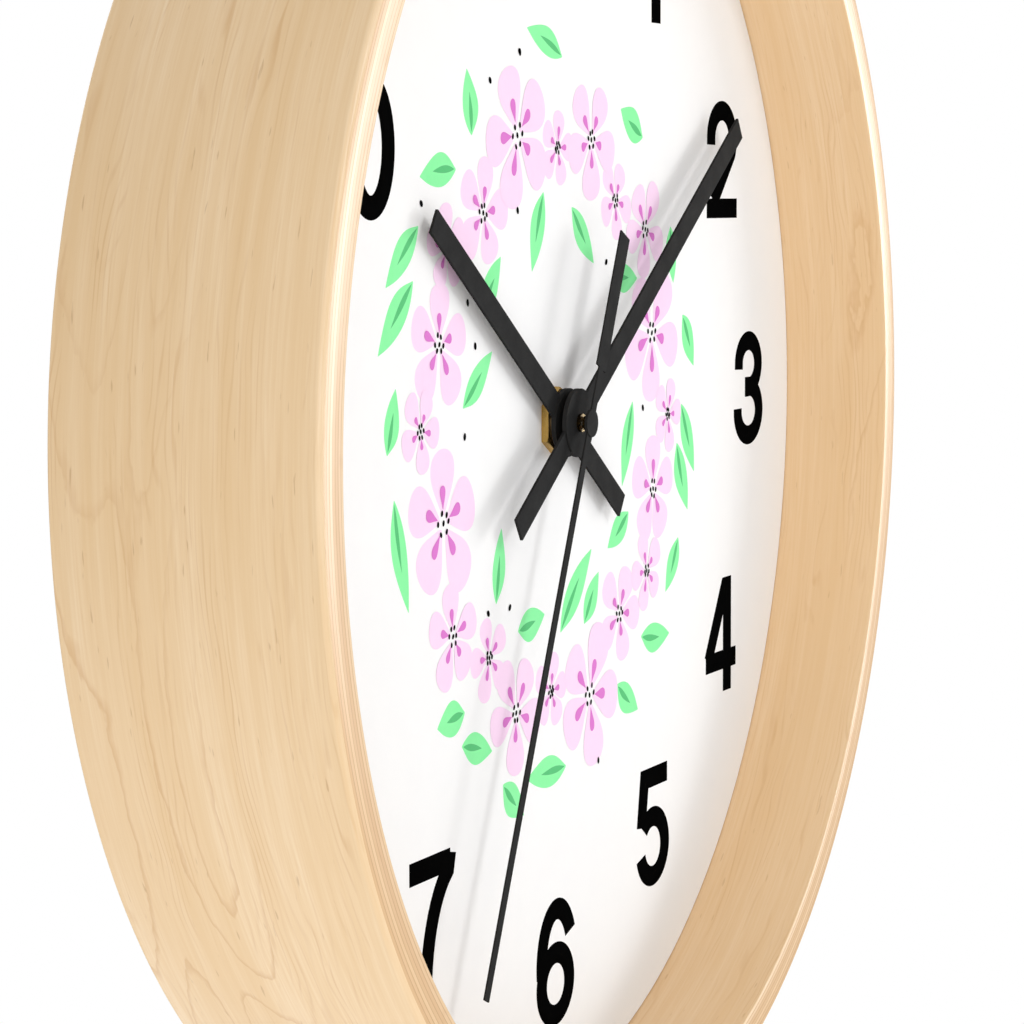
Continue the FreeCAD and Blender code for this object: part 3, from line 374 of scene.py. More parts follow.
@dataclass(frozen=True)
class MapleFinish(Recipe):
    """Lacquered bent maple: long grain round the hoop, plies and glue lines on its edges."""

    name: str
    centre: tuple[float, float, float]
    outer_radius: float
    wall: float
    plies: int = 8
    growth_rate: float = 5600.0
    growth_drift: float = 95.0
    growth_depth: float = 0.34
    cathedral_depth: float = 0.36
    fleck_depth: float = 0.34
    # Painted shade: how far the innermost ply and the inner bore are darkened.
    painted_bore_shade_depth: float = 0.30
    seam_depth: float = 0.60
    seam_share: float = 0.2
    pale: Colour = tint(250, 224, 188)
    warm: Colour = tint(237, 203, 156)
    line: Colour = tint(204, 152, 94)
    fleck: Colour = tint(172, 124, 76)
    seam: Colour = tint(186, 136, 82)
    core: Colour = tint(214, 170, 118)

    def make(self) -> bpy.types.Material:
        """Builds the material.

        Returns:
            A material with a Principled shader.
        """
        material, graph, shader = blank_material(self.name)
        polar = Groups.place(graph, Groups.polar(), Coordinates=graph.from_centre(self.centre),
                             Reach=self.outer_radius)
        veneer = polar.outputs["Vector"]
        fibre = self.grain(graph, veneer, 60.0, 2600.0, 3.0, 0.6)
        strands = graph.fit(fibre, 0.3, 0.7, 0.0, 0.8)
        colour = graph.mix(strands, self.tone(graph, veneer), self.warm)
        colour = self.inked(graph, colour, self.growth_lines(graph, veneer), self.growth_depth, self.line)
        colour = self.inked(graph, colour, self.cathedrals(graph, veneer), self.cathedral_depth, self.line)
        colour = self.inked(graph, colour, self.flecks(graph, veneer), self.fleck_depth, self.fleck)
        colour = self.plied(graph, colour, polar.outputs["Radius"])
        graph.feed(shader.inputs["Base Color"], colour)
        graph.feed(shader.inputs["Roughness"], graph.fit(fibre, 0.3, 0.7, 0.38, 0.50))
        shader.inputs["Specular IOR Level"].default_value = 0.35
        shader.inputs["Coat Weight"].default_value = 0.30
        shader.inputs["Coat Roughness"].default_value = 0.22
        add_relief(graph, shader, fibre, 0.010)
        return material

    def grain(self, graph: Graph, veneer: bpy.types.NodeSocket, along: float, across: float, detail: float,
              rough: float) -> bpy.types.NodeSocket:
        """Returns noise that is drawn out along the grain."""
        return graph.noise(graph.stretch(veneer, (along, across, across)), 1.0, detail, rough)

    def inked(self, graph: Graph, colour: bpy.types.NodeSocket, mask: bpy.types.NodeSocket, amount: float,
              ink: Colour) -> bpy.types.NodeSocket:
        """Lays a darker colour over another where a mask says."""
        return graph.mix(graph.math("MULTIPLY", mask, amount), colour, ink)

    def tone(self, graph: Graph, veneer: bpy.types.NodeSocket) -> bpy.types.NodeSocket:
        """Returns the slow change from pale to warm along and across the veneer."""
        broad = self.grain(graph, veneer, 7.0, 90.0, 3.0, 0.55)
        narrow = self.grain(graph, veneer, 11.0, 420.0, 3.0, 0.6)
        both = graph.math("ADD", graph.math("MULTIPLY", broad, 0.5), graph.math("MULTIPLY", narrow, 0.5))
        return graph.mix(graph.fit(both, 0.36, 0.64, 0.0, 1.0), self.pale, self.warm)

    def growth_lines(self, graph: Graph, veneer: bpy.types.NodeSocket) -> bpy.types.NodeSocket:
        """Returns the mask of the fine, nearly straight lines, strong in some places and faint in others."""
        split = graph.add("SeparateXYZ")
        graph.feed(split.inputs[0], veneer)
        drift = self.grain(graph, veneer, 10.0, 60.0, 3.0, 0.6)
        phase = graph.math("ADD", graph.math("MULTIPLY", split.outputs["Y"], self.growth_rate),
                           graph.math("MULTIPLY", drift, self.growth_drift))
        wave = graph.fit(graph.math("SINE", phase), 0.45, 1.0, 0.0, 1.0)
        presence = self.grain(graph, veneer, 26.0, 230.0, 3.0, 0.65)
        return graph.math("MULTIPLY", wave, graph.fit(presence, 0.46, 0.68, 0.0, 1.0))

    def cathedrals(self, graph: Graph, veneer: bpy.types.NodeSocket) -> bpy.types.NodeSocket:
        """Returns the mask of the thin contour lines where the veneer cuts flat through the growth rings."""
        ragged = self.grain(graph, veneer, 150.0, 420.0, 2.0, 0.6)
        rings = self.grain(graph, veneer, 8.0, 58.0, 1.0, 0.4)
        height = graph.math("ADD", graph.math("MULTIPLY", rings, 12.0), graph.math("MULTIPLY", ragged, 0.35))
        step = graph.math("FRACT", height)
        front = graph.fit(step, 0.0, 0.03, 0.0, 1.0)
        tail = graph.fit(step, 0.04, 0.16, 1.0, 0.0)
        contour = graph.math("MULTIPLY", front, tail)
        presence = self.grain(graph, veneer, 5.0, 34.0, 1.0, 0.5)
        return graph.math("MULTIPLY", contour, graph.fit(presence, 0.50, 0.62, 0.0, 1.0))

    def flecks(self, graph: Graph, veneer: bpy.types.NodeSocket) -> bpy.types.NodeSocket:
        """Returns the mask of short dark dashes."""
        dashes = self.grain(graph, veneer, 210.0, 1500.0, 1.0, 0.5)
        return graph.fit(dashes, 0.73, 0.80, 0.0, 1.0)

    def plied(self, graph: Graph, colour: bpy.types.NodeSocket,
              radius: bpy.types.NodeSocket) -> bpy.types.NodeSocket:
        """Returns the colour with the plies' own tones, the seams between them, and painted shade on the
        innermost ply and the inner bore that faces into the recess.

        Args:
            graph: the material's graph.
            colour: the wood's colour.
            radius: the distance from the hoop's axis.
        """
        ply = self.wall / self.plies
        inner = self.outer_radius - self.wall
        count = graph.math("DIVIDE", graph.math("SUBTRACT", radius, inner - 0.00002), ply)
        within = graph.math("FRACT", count)
        number = graph.math("FLOOR", count)
        seed = graph.add("TexWhiteNoise", noise_dimensions="1D")
        graph.feed(seed.inputs["W"], number)
        inside = graph.math("GREATER_THAN", number, 0.5)
        below = graph.math("LESS_THAN", number, self.plies - 1.5)
        core = graph.math("MULTIPLY", inside, below)
        depth = graph.fit(seed.outputs["Value"], 0.0, 1.0, 0.35, 0.85)
        toned = self.inked(graph, colour, graph.math("MULTIPLY", depth, core), 1.0, self.core)
        # Painted shade: the innermost ply, which holds the inner bore inside the recess, is darkened toward
        # the core tone.
        painted_bore_shade = graph.math("SUBTRACT", 1.0, inside)
        toned = self.inked(graph, toned, painted_bore_shade, self.painted_bore_shade_depth, self.core)
        edge = graph.math("MULTIPLY", graph.math("LESS_THAN", within, self.seam_share), core)
        return self.inked(graph, toned, edge, self.seam_depth, self.seam)


@dataclass(frozen=True)
class InkFinish(Recipe):
    """Printed ink: a colour that thins towards a second one, as in a wash."""

    name: str
    base: Colour
    second: Colour
    scale: float = 120.0
    amount: float = 0.35

    def make(self) -> bpy.types.Material:
        """Builds the material."""
        return Finish(self.name, self.base, self.second, self.scale, self.amount, 0.9, 0.05, 0.002,
                      gloss=0.0).make()


@dataclass(frozen=True)
class CellFinish(Recipe):
    """A cell's printed sleeve: a coloured band at the raised end, and bright metal past its ends."""

    name: str
    low_x: float
    high_x: float
    body: Colour = tint(34, 52, 46)
    band: Colour = tint(196, 128, 62)
    metal: Colour = tint(196, 196, 198)

    def make(self) -> bpy.types.Material:
        """Builds the material.

        Returns:
            A material with a Principled shader.
        """
        material, graph, shader = blank_material(self.name)
        source = graph.add("TexCoord")
        split = graph.add("SeparateXYZ")
        graph.feed(split.inputs[0], source.outputs["Object"])
        share = graph.fit(split.outputs["X"], self.low_x, self.high_x, 0.0, 1.0)
        wear = Groups.place(graph, Groups.mottle(), Coordinates=source.outputs["Object"], Scale=300.0,
                            Amount=0.25, Base=self.body, Second=tint(60, 80, 72))
        band = graph.math("GREATER_THAN", share, 0.72)
        colour = graph.mix(band, wear.outputs["Colour"], self.band)
        ends = graph.math("ADD", graph.math("LESS_THAN", share, 0.015),
                          graph.math("GREATER_THAN", share, 0.962))
        colour = graph.mix(ends, colour, self.metal)
        graph.feed(shader.inputs["Base Color"], colour)
        graph.feed(shader.inputs["Metallic"], graph.math("MULTIPLY", ends, 0.9))
        graph.feed(shader.inputs["Roughness"], graph.fit(wear.outputs["Mask"], 0.0, 1.0, 0.24, 0.36))
        add_relief(graph, shader, wear.outputs["Height"], 0.004)
        return material


class Bench:
    """The workbench: Blender operators used as by hand."""

    @staticmethod
    def clear() -> None:
        """Leaves edit mode and deselects everything."""
        if bpy.context.object and bpy.context.object.mode != "OBJECT":
            bpy.ops.object.mode_set(mode="OBJECT")
        for item in bpy.context.selected_objects:
            item.select_set(False)
        bpy.context.view_layer.objects.active = None

    @staticmethod
    def pick(*items: bpy.types.Object) -> None:
        """Selects only these objects, the first of them active."""
        Bench.clear()
        for item in items:
            item.select_set(True)
        bpy.context.view_layer.objects.active = items[0]

    @staticmethod
    def modify(item: bpy.types.Object, kind: str, **settings: object) -> None:
        """Adds a modifier and applies it."""
        Bench.pick(item)
        modifier = item.modifiers.new(kind.lower(), kind)
        for name, value in settings.items():
            setattr(modifier, name, value)
        bpy.ops.object.modifier_apply(modifier=modifier.name)

    @staticmethod
    def curve_mesh(name: str, path: Sequence[Point], closed: bool, filled: bool, thickness: float,
                   smooth: bool = False) -> bpy.types.Object:
        """Draws a flat path and turns it into a thin mesh on the XY plane.

        Args:
            name: the piece's name.
            path: its points, in millimetres.
            closed: whether it closes.
            filled: True for a filled shape, False for a standing strip along the path.
            thickness: the height above the plane, in metres.
            smooth: True where the points guide a smooth curve.

        Returns:
            The mesh object.
        """
        data = bpy.data.curves.new(name, "CURVE")
        data.dimensions = "2D"
        data.fill_mode = "BOTH" if filled else "NONE"
        data.extrude = thickness / 2
        data.resolution_u = 10
        spline = data.splines.new("NURBS" if smooth else "POLY")
        spline.points.add(len(path) - 1)
        for target, (x, y) in zip(spline.points, path):
            target.co = (x * MM, y * MM, 0.0, 1.0)
        spline.use_cyclic_u = closed
        if smooth:
            spline.order_u = 4
        item = bpy.data.objects.new(name, data)
        bpy.context.scene.collection.objects.link(item)
        Bench.pick(item)
        bpy.ops.object.convert(target="MESH")
        item = bpy.context.object
        item.name = name
        return item

    @staticmethod
    def join(name: str, items: Sequence[bpy.types.Object]) -> bpy.types.Object:
        """Joins several objects into one."""
        Bench.pick(*items)
        if len(items) > 1:
            bpy.ops.object.join()
        item = bpy.context.object
        item.name = name
        item.data.name = name
        return item

    @staticmethod
    def stand_up(item: bpy.types.Object, x: float, y: float, z: float) -> None:
        """Stands a flat-drawn piece up to face forward, with its origin's place at x, y, z, in metres."""
        Bench.pick(item)
        item.matrix_world = Matrix.Translation((x, y, z)) @ Matrix.Rotation(math.radians(90), 4, "X")
        bpy.ops.object.transform_apply(location=True, rotation=True, scale=True)

    @staticmethod
    def smooth(item: bpy.types.Object, degrees: float) -> None:
        """Shades smooth, but keeps edges sharper than an angle."""
        Bench.pick(item)
        bpy.ops.object.shade_smooth_by_angle(angle=math.radians(degrees))

    @staticmethod
    def finish(item: bpy.types.Object, body: str, slot: str, material: bpy.types.Material,
               stands_for: Sequence[str] = ()) -> None:
        """Dresses a finished piece and fixes it to its body."""
        item.data.materials.clear()
        item.data.materials.append(material)
        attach(item, body)
        if stands_for:
            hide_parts(*stands_for)
        LOG.info("%s: %d faces on %s", item.name, len(item.data.polygons), body)


def centre_of(node: str) -> Vector:
    """Returns the middle of a model node's box."""
    low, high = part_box(node)
    return (low + high) / 2


@dataclass
class Hoop:
    """The bentwood hoop, turned fine enough to look round."""

    steps: int = 360
    wall: float = 6.8 * MM
    front_round: float = 1.0 * MM
    edge_ease: float = 0.35 * MM

    def build(self) -> bpy.types.Object:
        """Builds the hoop as a ring with eased edges.

        Returns:
            The hoop.
        """
        low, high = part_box("wood_hoop")
        radius = (high.x - low.x) / 2
        depth = high.y - low.y
        centre = centre_of("wood_hoop")
        Bench.clear()
        bpy.ops.mesh.primitive_circle_add(vertices=self.steps, radius=radius, fill_type="NOTHING")
        ring = bpy.context.object
        ring.name = "maple_hoop"
        bpy.ops.object.mode_set(mode="EDIT")
        bpy.ops.mesh.select_all(action="SELECT")
        bpy.ops.mesh.extrude_region_move(TRANSFORM_OT_translate={"value": (0, 0, depth)})
        bpy.ops.mesh.extrude_region_move()
        share = (radius - self.wall) / radius
        bpy.ops.transform.resize(value=(share, share, 1.0))
        bpy.ops.mesh.extrude_region_move(TRANSFORM_OT_translate={"value": (0, 0, -depth)})
        bpy.ops.mesh.select_all(action="DESELECT")
        bpy.ops.mesh.select_mode(type="EDGE")
        bpy.ops.mesh.select_non_manifold()
        bpy.ops.mesh.bridge_edge_loops()
        bpy.ops.mesh.select_all(action="SELECT")
        bpy.ops.mesh.normals_make_consistent(inside=False)
        self.ease(ring, radius, depth, self.front_round, 6)
        self.ease(ring, radius - self.wall, depth, self.edge_ease, 3)
        self.ease(ring, radius, 0.0, self.edge_ease, 3)
        self.ease(ring, radius - self.wall, 0.0, self.edge_ease, 3)
        bpy.ops.object.mode_set(mode="OBJECT")
        Bench.stand_up(ring, centre.x, high.y, centre.z)
        Bench.smooth(ring, 50.0)
        finish = MapleFinish("maple_lacquered", (centre.x, 0.0, centre.z), radius, self.wall)
        Bench.finish(ring, "clock", "maple", finish.material(), ["wood_hoop"])
        return ring

    def ease(self, ring: bpy.types.Object, radius: float, height: float, width: float, steps: int) -> None:
        """Rounds one of the ring's circular edges.

        Args:
            ring: the ring, in edit mode.
            radius: the edge's radius.
            height: its height above the drawing plane.
            width: the round's size.
            steps: how many faces it has.
        """
        bpy.ops.mesh.select_all(action="DESELECT")
        bpy.ops.object.mode_set(mode="OBJECT")
        for edge in ring.data.edges:
            ends = [ring.data.vertices[index].co for index in edge.vertices]
            edge.select = all(
                abs(math.hypot(end.x, end.y) - radius) < 1e-5 and abs(end.z - height) < 1e-5 for end in ends)
        bpy.ops.object.mode_set(mode="EDIT")
        bpy.ops.mesh.bevel(offset=width, segments=steps, profile=0.5, affect="EDGES")


class Digit:
    """Centre lines of upright grotesque figures, drawn tall, because they are pressed lower afterwards."""

    WIDE = 6.05
    HIGH = 11.2
    FLAT = 13.45

    @staticmethod
    def arc(x: float, z: float, wide: float, high: float, start: float, end: float) -> list[Point]:
        """Returns points along an ellipse's arc.

        Args:
            x: centre across, in millimetres.
            z: centre up, in millimetres.
            wide: half width.
            high: half height.
            start: start angle in degrees, counted from the right, upward.
            end: end angle in degrees.

        Returns:
            The points, in millimetres.
        """
        steps = max(6, int(abs(end - start) / 6.0))
        angles = [math.radians(start + (end - start) * step / steps) for step in range(steps + 1)]
        return [(x + wide * math.cos(angle), z + high * math.sin(angle)) for angle in angles]

    @classmethod
    def strokes(cls, digit: str) -> list[tuple[list[Point], bool]]:
        """Returns the centre lines of a figure's strokes, in millimetres from its middle.

        Args:
            digit: one character, 0 to 9.

        Returns:
            Each stroke's points, and whether it closes.
        """
        wide, high, flat, arc = cls.WIDE, cls.HIGH, cls.FLAT, cls.arc
        shapes: dict[str, list[tuple[list[Point], bool]]] = {
            "0": [(arc(0, 0, wide, high, 0, 360)[:-1], True)],
            "1": [([(2.3, -flat), (2.3, flat)], False),
                  (arc(-5.6, 14.2, 7.0, 7.4, -90, -25), False)],
            "2": [([(-5.95, 3.3)] + arc(0.0, 4.7, 5.95, 6.5, 180, -28)[1:] + [(-4.6, -9.6)], False),
                  ([(-8.25, -high), (8.25, -high)], False)],
            "3": [([(-5.5, 4.6)] + arc(0.0, 5.7, 5.5, 5.5, 175, -90)[1:] + [(-2.0, 0.2)], False),
                  ([(-2.0, 0.4)] + arc(0.0, -5.4, wide, 5.8, 90, -180) + [(-wide, -4.6)], False)],
            "4": [([(3.4, -flat), (3.4, flat)], False), ([(-8.3, -5.9), (8.3, -5.9)], False),
                  ([(2.7, 12.4), (-6.9, -5.2)], False)],
            "5": [([(7.3, high), (-4.1, high), (-5.7, 0.6)], False),
                  (arc(0.0, -4.5, wide, 6.7, 140, -165), False)],
            "6": [(arc(0.0, -4.6, wide, 6.6, 0, 360)[:-1], True),
                  (arc(0.6, 0.0, wide + 0.6, high, 190, 28), False)],
            "7": [([(-8.0, high), (7.2, high)], False),
                  ([(7.2, 12.6)] + arc(11.6, -14.4, 13.8, 25.6, 112, 178), False)],
            "8": [(arc(0, 5.8, 5.3, 5.4, 0, 360)[:-1], True), (arc(0, -5.3, wide, 5.9, 0, 360)[:-1], True)],
            "9": [(arc(0.0, 4.6, wide, 6.6, 0, 360)[:-1], True),
                  (arc(-0.6, 0.0, wide + 0.6, high, 10, -152), False)],
        }
        return shapes[digit]


@dataclass
class Blossom:
    """One printed blossom: its place on the dial, its petals' length and its turn."""

    x: float
    z: float
    length: float
    tilt: float

    def clear_of(self, points: Iterable[Point]) -> bool:
        """Returns whether no point comes near the petals."""
        return all(math.hypot(x - self.x, z - self.z) > self.length * 1.08 for x, z in points)


@dataclass
class Print:
    """Everything printed on the dial: numerals, blossoms, leaves and dots."""

    ink: float = 0.02 * MM
    advance: float = 17.6 * MM
    stroke: float = 4.5 * MM
    press: float = 0.85
    film: float = 0.005 * MM
    film_step: float = 0.006 * MM
    petal_pink: Colour = tint(253, 222, 247)
    heart_pink: Colour = tint(222, 127, 208)
    leaf_green: Colour = tint(143, 247, 168)
    vein_green: Colour = tint(96, 196, 126)
    wreath_radius: float = 50.0
    blossom_sizes: tuple[float, ...] = (11.6, 8.4, 6.6, 9.4, 6.2)
    leaf_count: int = 30
    numerals: dict[str, Point] = field(default_factory=lambda: {
        "12": (0.0, 96.0), "1": (45.0, 82.7), "2": (81.8, 46.4), "3": (97.0, 0.75), "4": (81.8, -47.7),
        "5": (45.8, -79.8), "6": (0.0, -96.1), "7": (-50.0, -78.9), "8": (-81.8, -47.5), "9": (-97.0, 0.0),
        "10": (-78.4, 47.0), "11": (-47.0, 82.7)})

    def build(self) -> None:
        """Builds all the printing."""
        self.centre = centre_of("dial_sheet")
        self.face_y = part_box("dial_sheet")[0].y
        self.build_numerals()
        self.build_wreath()

    def figure(self, digit: str) -> bpy.types.Object:
        """Builds one figure as a single flat solid on the drawing board.

        Args:
            digit: one character, 0 to 9.

        Returns:
            The figure.
        """
        bars = []
        for points, closed in Digit.strokes(digit):
            bar = Bench.curve_mesh("bar", points, closed, False, self.ink)
            Bench.modify(bar, "SOLIDIFY", thickness=self.stroke, offset=0.0, use_even_offset=True)
            bars.append(bar)
        whole = bars[0]
        for bar in bars[1:]:
            Bench.modify(whole, "BOOLEAN", operation="UNION", object=bar, solver="EXACT")
            bpy.data.objects.remove(bar, do_unlink=True)
        Bench.pick(whole)
        whole.scale = (1.0, self.press, 1.0)
        bpy.ops.object.transform_apply(scale=True)
        return whole

    def build_numerals(self) -> None:
        """Builds the numerals 1 to 12 as thin ink, upright all round."""
        made = []
        for label, (x, z) in self.numerals.items():
            for index, digit in enumerate(label):
                shift = (index - (len(label) - 1) / 2) * self.advance
                item = self.figure(digit)
                Bench.stand_up(item, self.centre.x + x * MM + shift, self.face_y - self.ink / 2,
                               self.centre.z + z * MM)
                made.append(item)
        numerals = Bench.join("dial_numerals", made)
        ink = InkFinish("numeral_ink", tint(6, 6, 6), tint(12, 12, 12))
        Bench.finish(numerals, "clock", "dial_paper", ink.material())

    def petal(self, length: float, source: random.Random) -> list[Point]:
        """Returns guide points of one broad petal, from the blossom's middle outward along +Y."""
        width = length * source.uniform(0.68, 0.80)
        lean = source.uniform(-0.06, 0.06) * length
        reach = length * source.uniform(0.95, 1.08)
        right = [(0.03, 0.10), (0.24, 0.32), (0.54, 0.64), (0.54, 0.94), (0.22, 1.10)]
        left = [(-x, y) for x, y in reversed(right)]
        return [(x * width + lean * y, y * reach) for x, y in right + left]

    def turned(self, points: Iterable[Point], degrees: float, x: float, z: float) -> list[Point]:
        """Returns points turned about the origin and then moved."""
        cosine, sine = math.cos(math.radians(degrees)), math.sin(math.radians(degrees))
        return [(x + px * cosine - pz * sine, z + px * sine + pz * cosine) for px, pz in points]

    def drop(self, length: float, width: float) -> list[Point]:
        """Returns guide points of a narrow drop, pointed at its foot."""
        shape = [(0.0, -0.05), (0.0, 0.0), (0.3, 0.4), (0.62, 0.8), (0.35, 1.1), (-0.35, 1.1), (-0.62, 0.8),
                 (-0.3, 0.4)]
        return [(x * width, y * length) for x, y in shape]

    def bead(self, width: float, height: float) -> list[Point]:
        """Returns guide points of a small round dot."""
        return [(0.7 * width * math.cos(math.radians(turn)), 0.7 * height * math.sin(math.radians(turn)))
                for turn in range(0, 360, 60)]

    def leaf(self, length: float, width: float, bend: float) -> list[Point]:
        """Returns guide points of one pointed leaf along +Y."""
        shape = [(0.0, -0.04), (0.0, 0.0), (0.5, 0.22), (0.66, 0.5), (0.3, 0.82), (0.0, 1.03), (0.0, 1.0),
                 (-0.34, 0.8), (-0.6, 0.46), (-0.45, 0.18)]
        return [(x * width + bend * y * y, y * length) for x, y in shape]

    def layer(self, name: str, paths: Sequence[Sequence[Point]], level: int, ink: InkFinish,
              cycle: int = 1) -> None:
        """Prints one layer of filled shapes.

        Args:
            name: the piece's name.
            paths: closed outlines, in millimetres from the dial's middle.
            level: which film of ink it is, counted from the paper.
            ink: its ink.
            cycle: how many films its shapes take by turns, so that neighbours may cross.
        """
        made = []
        for index, path in enumerate(paths):
            shape = Bench.curve_mesh("shape", path, True, True, self.film, True)
            stand = self.film / 2 + self.film_step * (level + index % cycle)
            Bench.stand_up(shape, self.centre.x, self.face_y - stand, self.centre.z)
            made.append(shape)
        item = Bench.join(name, made)
        Bench.finish(item, "clock", "dial_paper", ink.material())

    def ring(self, source: random.Random) -> list[Blossom]:
        """Returns the blossoms, petal to petal round the dial, in five sizes by turns."""
        blossoms: list[Blossom] = []
        lengths = [self.blossom_sizes[index % len(self.blossom_sizes)] for index in range(20)]
        gaps = [first + second for first, second in zip(lengths, lengths[1:] + lengths[:1])]
        share = 360.0 / sum(gaps)
        angle = 17.0
        for index, (length, gap) in enumerate(zip(lengths, gaps)):
            reach = self.wreath_radius + (2.6 if index % 2 else -2.6) + source.uniform(-1.0, 1.0)
            x, z = reach * math.cos(math.radians(angle)), reach * math.sin(math.radians(angle))
            blossoms.append(Blossom(x, z, length, source.uniform(0, 72)))
            angle += gap * share
        return blossoms

    def sprigs(self, blossoms: Sequence[Blossom], source: random.Random) -> list[tuple[float, ...]]:
        """Returns leaves beside the ring that stay clear of the blossoms and of each other.

        Args:
            blossoms: the ring's blossoms.
            source: the seeded source of small differences.

        Returns:
            Each leaf's x, z, turn, length, width and bend.
        """
        leaves: list[tuple[float, ...]] = []
        taken: list[Point] = []
        for _ in range(6000):
            if len(leaves) == self.leaf_count:
                break
            angle = source.uniform(0, 360)
            reach = self.wreath_radius + source.choice((-1, 1)) * source.uniform(7.0, 15.0)
            x, z = reach * math.cos(math.radians(angle)), reach * math.sin(math.radians(angle))
            turn = source.uniform(0, 360)
            length, bend = source.uniform(10.0, 19.0), source.uniform(-2.2, 2.2)
            width = source.uniform(4.4, 5.6)
            outline = self.turned(self.leaf(length, width, bend), turn, x, z)
            shares = (0.0, 0.25, 0.5, 0.75, 1.0)
            spine = self.turned([(bend * share * share, length * share) for share in shares], turn, x, z)
            near = any(math.hypot(px - qx, pz - qz) < 5.4 for px, pz in spine for qx, qz in taken)
            inside = all(27.0 < math.hypot(px, pz) < 70.0 for px, pz in outline)
            if inside and not near and all(blossom.clear_of(outline) for blossom in blossoms):
                leaves.append((x, z, turn, length, width, bend))
                taken += spine
        return leaves

    def build_wreath(self) -> None:
        """Builds a ring of five-petalled blossoms and leaves round the hands."""
        source = random.Random(11)
        blossoms = self.ring(source)
        petals: list[list[Point]] = []
        hearts: list[list[Point]] = []
        dots: list[list[Point]] = []
        for blossom in blossoms:
            for lobe in range(5):
                turn = blossom.tilt + 72 * lobe + source.uniform(-4, 4)
                petals.append(self.turned(self.petal(blossom.length, source), turn, blossom.x, blossom.z))
                drop = self.drop(blossom.length * source.uniform(0.26, 0.40), blossom.length * 0.17)
                start = self.turned(drop, 0.0, 0.0, blossom.length * 0.2)
                hearts.append(self.turned(start, turn, blossom.x, blossom.z))
            for step in range(7):
                reach = blossom.length * (0.0 if step == 0 else source.uniform(0.13, 0.18))
                turn = 60 * step + source.uniform(-14, 14)
                place = self.turned([(reach, 0.0)], turn, blossom.x, blossom.z)[0]
                size = 0.55 + blossom.length * 0.030
                dots.append(self.turned(self.bead(size * 0.75, size), source.uniform(-40, 40), *place))
        leaves: list[list[Point]] = []
        veins: list[list[Point]] = []
        for x, z, turn, length, width, bend in self.sprigs(blossoms, source):
            leaves.append(self.turned(self.leaf(length, width, bend), turn, x, z))
            vein = self.turned(self.leaf(length * 0.6, width * 0.22, bend * 0.36), 0.0, 0.0, 0.5)
            veins.append(self.turned(vein, turn, x, z))
        for _ in range(60):
            angle = source.uniform(0, 360)
            reach = self.wreath_radius + source.choice((-1, 1)) * source.uniform(8.0, 17.0)
            x, z = reach * math.cos(math.radians(angle)), reach * math.sin(math.radians(angle))
            bare = all(math.hypot(x - px, z - pz) > 3.0 for path in leaves for px, pz in path)
            if bare and all(blossom.clear_of([(x, z)]) for blossom in blossoms):
                dots.append(self.turned(self.bead(0.8, 1.1), source.uniform(-60, 60), x, z))
        self.layer("print_leaves", leaves, 0, InkFinish("leaf_ink", self.leaf_green, tint(160, 248, 182)))
        self.layer("print_veins", veins, 1, InkFinish("vein_ink", self.vein_green, tint(110, 206, 140)))
        petal_ink = InkFinish("petal_ink", self.petal_pink, tint(252, 214, 245))
        self.layer("print_petals", petals, 0, petal_ink, 10)
        self.layer("print_hearts", hearts, 10, InkFinish("heart_ink", self.heart_pink, tint(226, 138, 212)))
        self.layer("print_dots", dots, 11, InkFinish("dot_ink", tint(14, 14, 16), tint(28, 28, 30)))


@dataclass
class CaseMarks:
    """Raised moulded marks on the movement's back: turning arrows round the knob, and the cell's signs."""

    height: float = 0.16 * MM
    sunk: float = 0.02 * MM
    arrow_radius: float = 7.0
    arrow_width: float = 0.7
    sign_reach: float = 1.5
    sign_width: float = 0.6

    def build(self) -> None:
        """Builds the marks as one piece on the cover."""
        self.back_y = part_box("rear_cover")[1].y
        knob = centre_of("set_knob")
        arrows = [self.arrow(0.0), self.arrow(180.0)]
        made = [self.raised(outline, knob.x, knob.z) for outline in arrows]
        cell_low, cell_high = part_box("battery_cell")
        sign_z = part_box("rear_cover")[0].z + 3.2 * MM
        made.append(self.raised(self.bar(True), cell_low.x + 3.0 * MM, sign_z))
        made.append(self.raised(self.bar(True), cell_high.x - 3.0 * MM, sign_z))
        upright = self.raised(self.bar(False), cell_high.x - 3.0 * MM, sign_z)
        Bench.modify(made[-1], "BOOLEAN", operation="UNION", object=upright, solver="EXACT")
        bpy.data.objects.remove(upright, do_unlink=True)
        marks = Bench.join("case_marks", made)
        mould = Finish("mark_plastic", tint(58, 58, 60), tint(72, 72, 74), 700.0, 0.6, 0.45, 0.06, 0.01)
        Bench.finish(marks, "clock", "black_plastic", mould.material())

    def arrow(self, turn: float) -> list[Point]:
        """Returns the outline of one curved arrow, turned about the knob.

        Args:
            turn: its turn, in degrees.

        Returns:
            The outline, in millimetres.
        """
        half = self.arrow_width / 2
        inner, outer = self.arrow_radius - half, self.arrow_radius + half
        way = [turn + 20.0 + 10.0 * step for step in range(11)]
        outline = [self.on_ring(outer, angle) for angle in way]
        outline += [self.on_ring(outer + 0.9, way[-1]), self.on_ring(self.arrow_radius, way[-1] + 18.0),
                    self.on_ring(inner - 0.9, way[-1])]
        return outline + [self.on_ring(inner, angle) for angle in reversed(way)]

    def on_ring(self, reach: float, degrees: float) -> Point:
        """Returns a point at a distance and an angle from the knob's axis."""
        return reach * math.cos(math.radians(degrees)), reach * math.sin(math.radians(degrees))

    def bar(self, level: bool) -> list[Point]:
        """Returns the outline of a level or an upright bar."""
        wide, high = self.sign_reach, self.sign_width / 2
        if not level:
            wide, high = high, wide
        return [(-wide, -high), (wide, -high), (wide, high), (-wide, high)]

    def raised(self, outline: Sequence[Point], x: float, z: float) -> bpy.types.Object:
        """Raises one outline on the cover's back."""
        item = Bench.curve_mesh("mark", outline, True, True, self.height)
        Bench.stand_up(item, x, self.back_y + self.height / 2 - self.sunk, z)
        return item


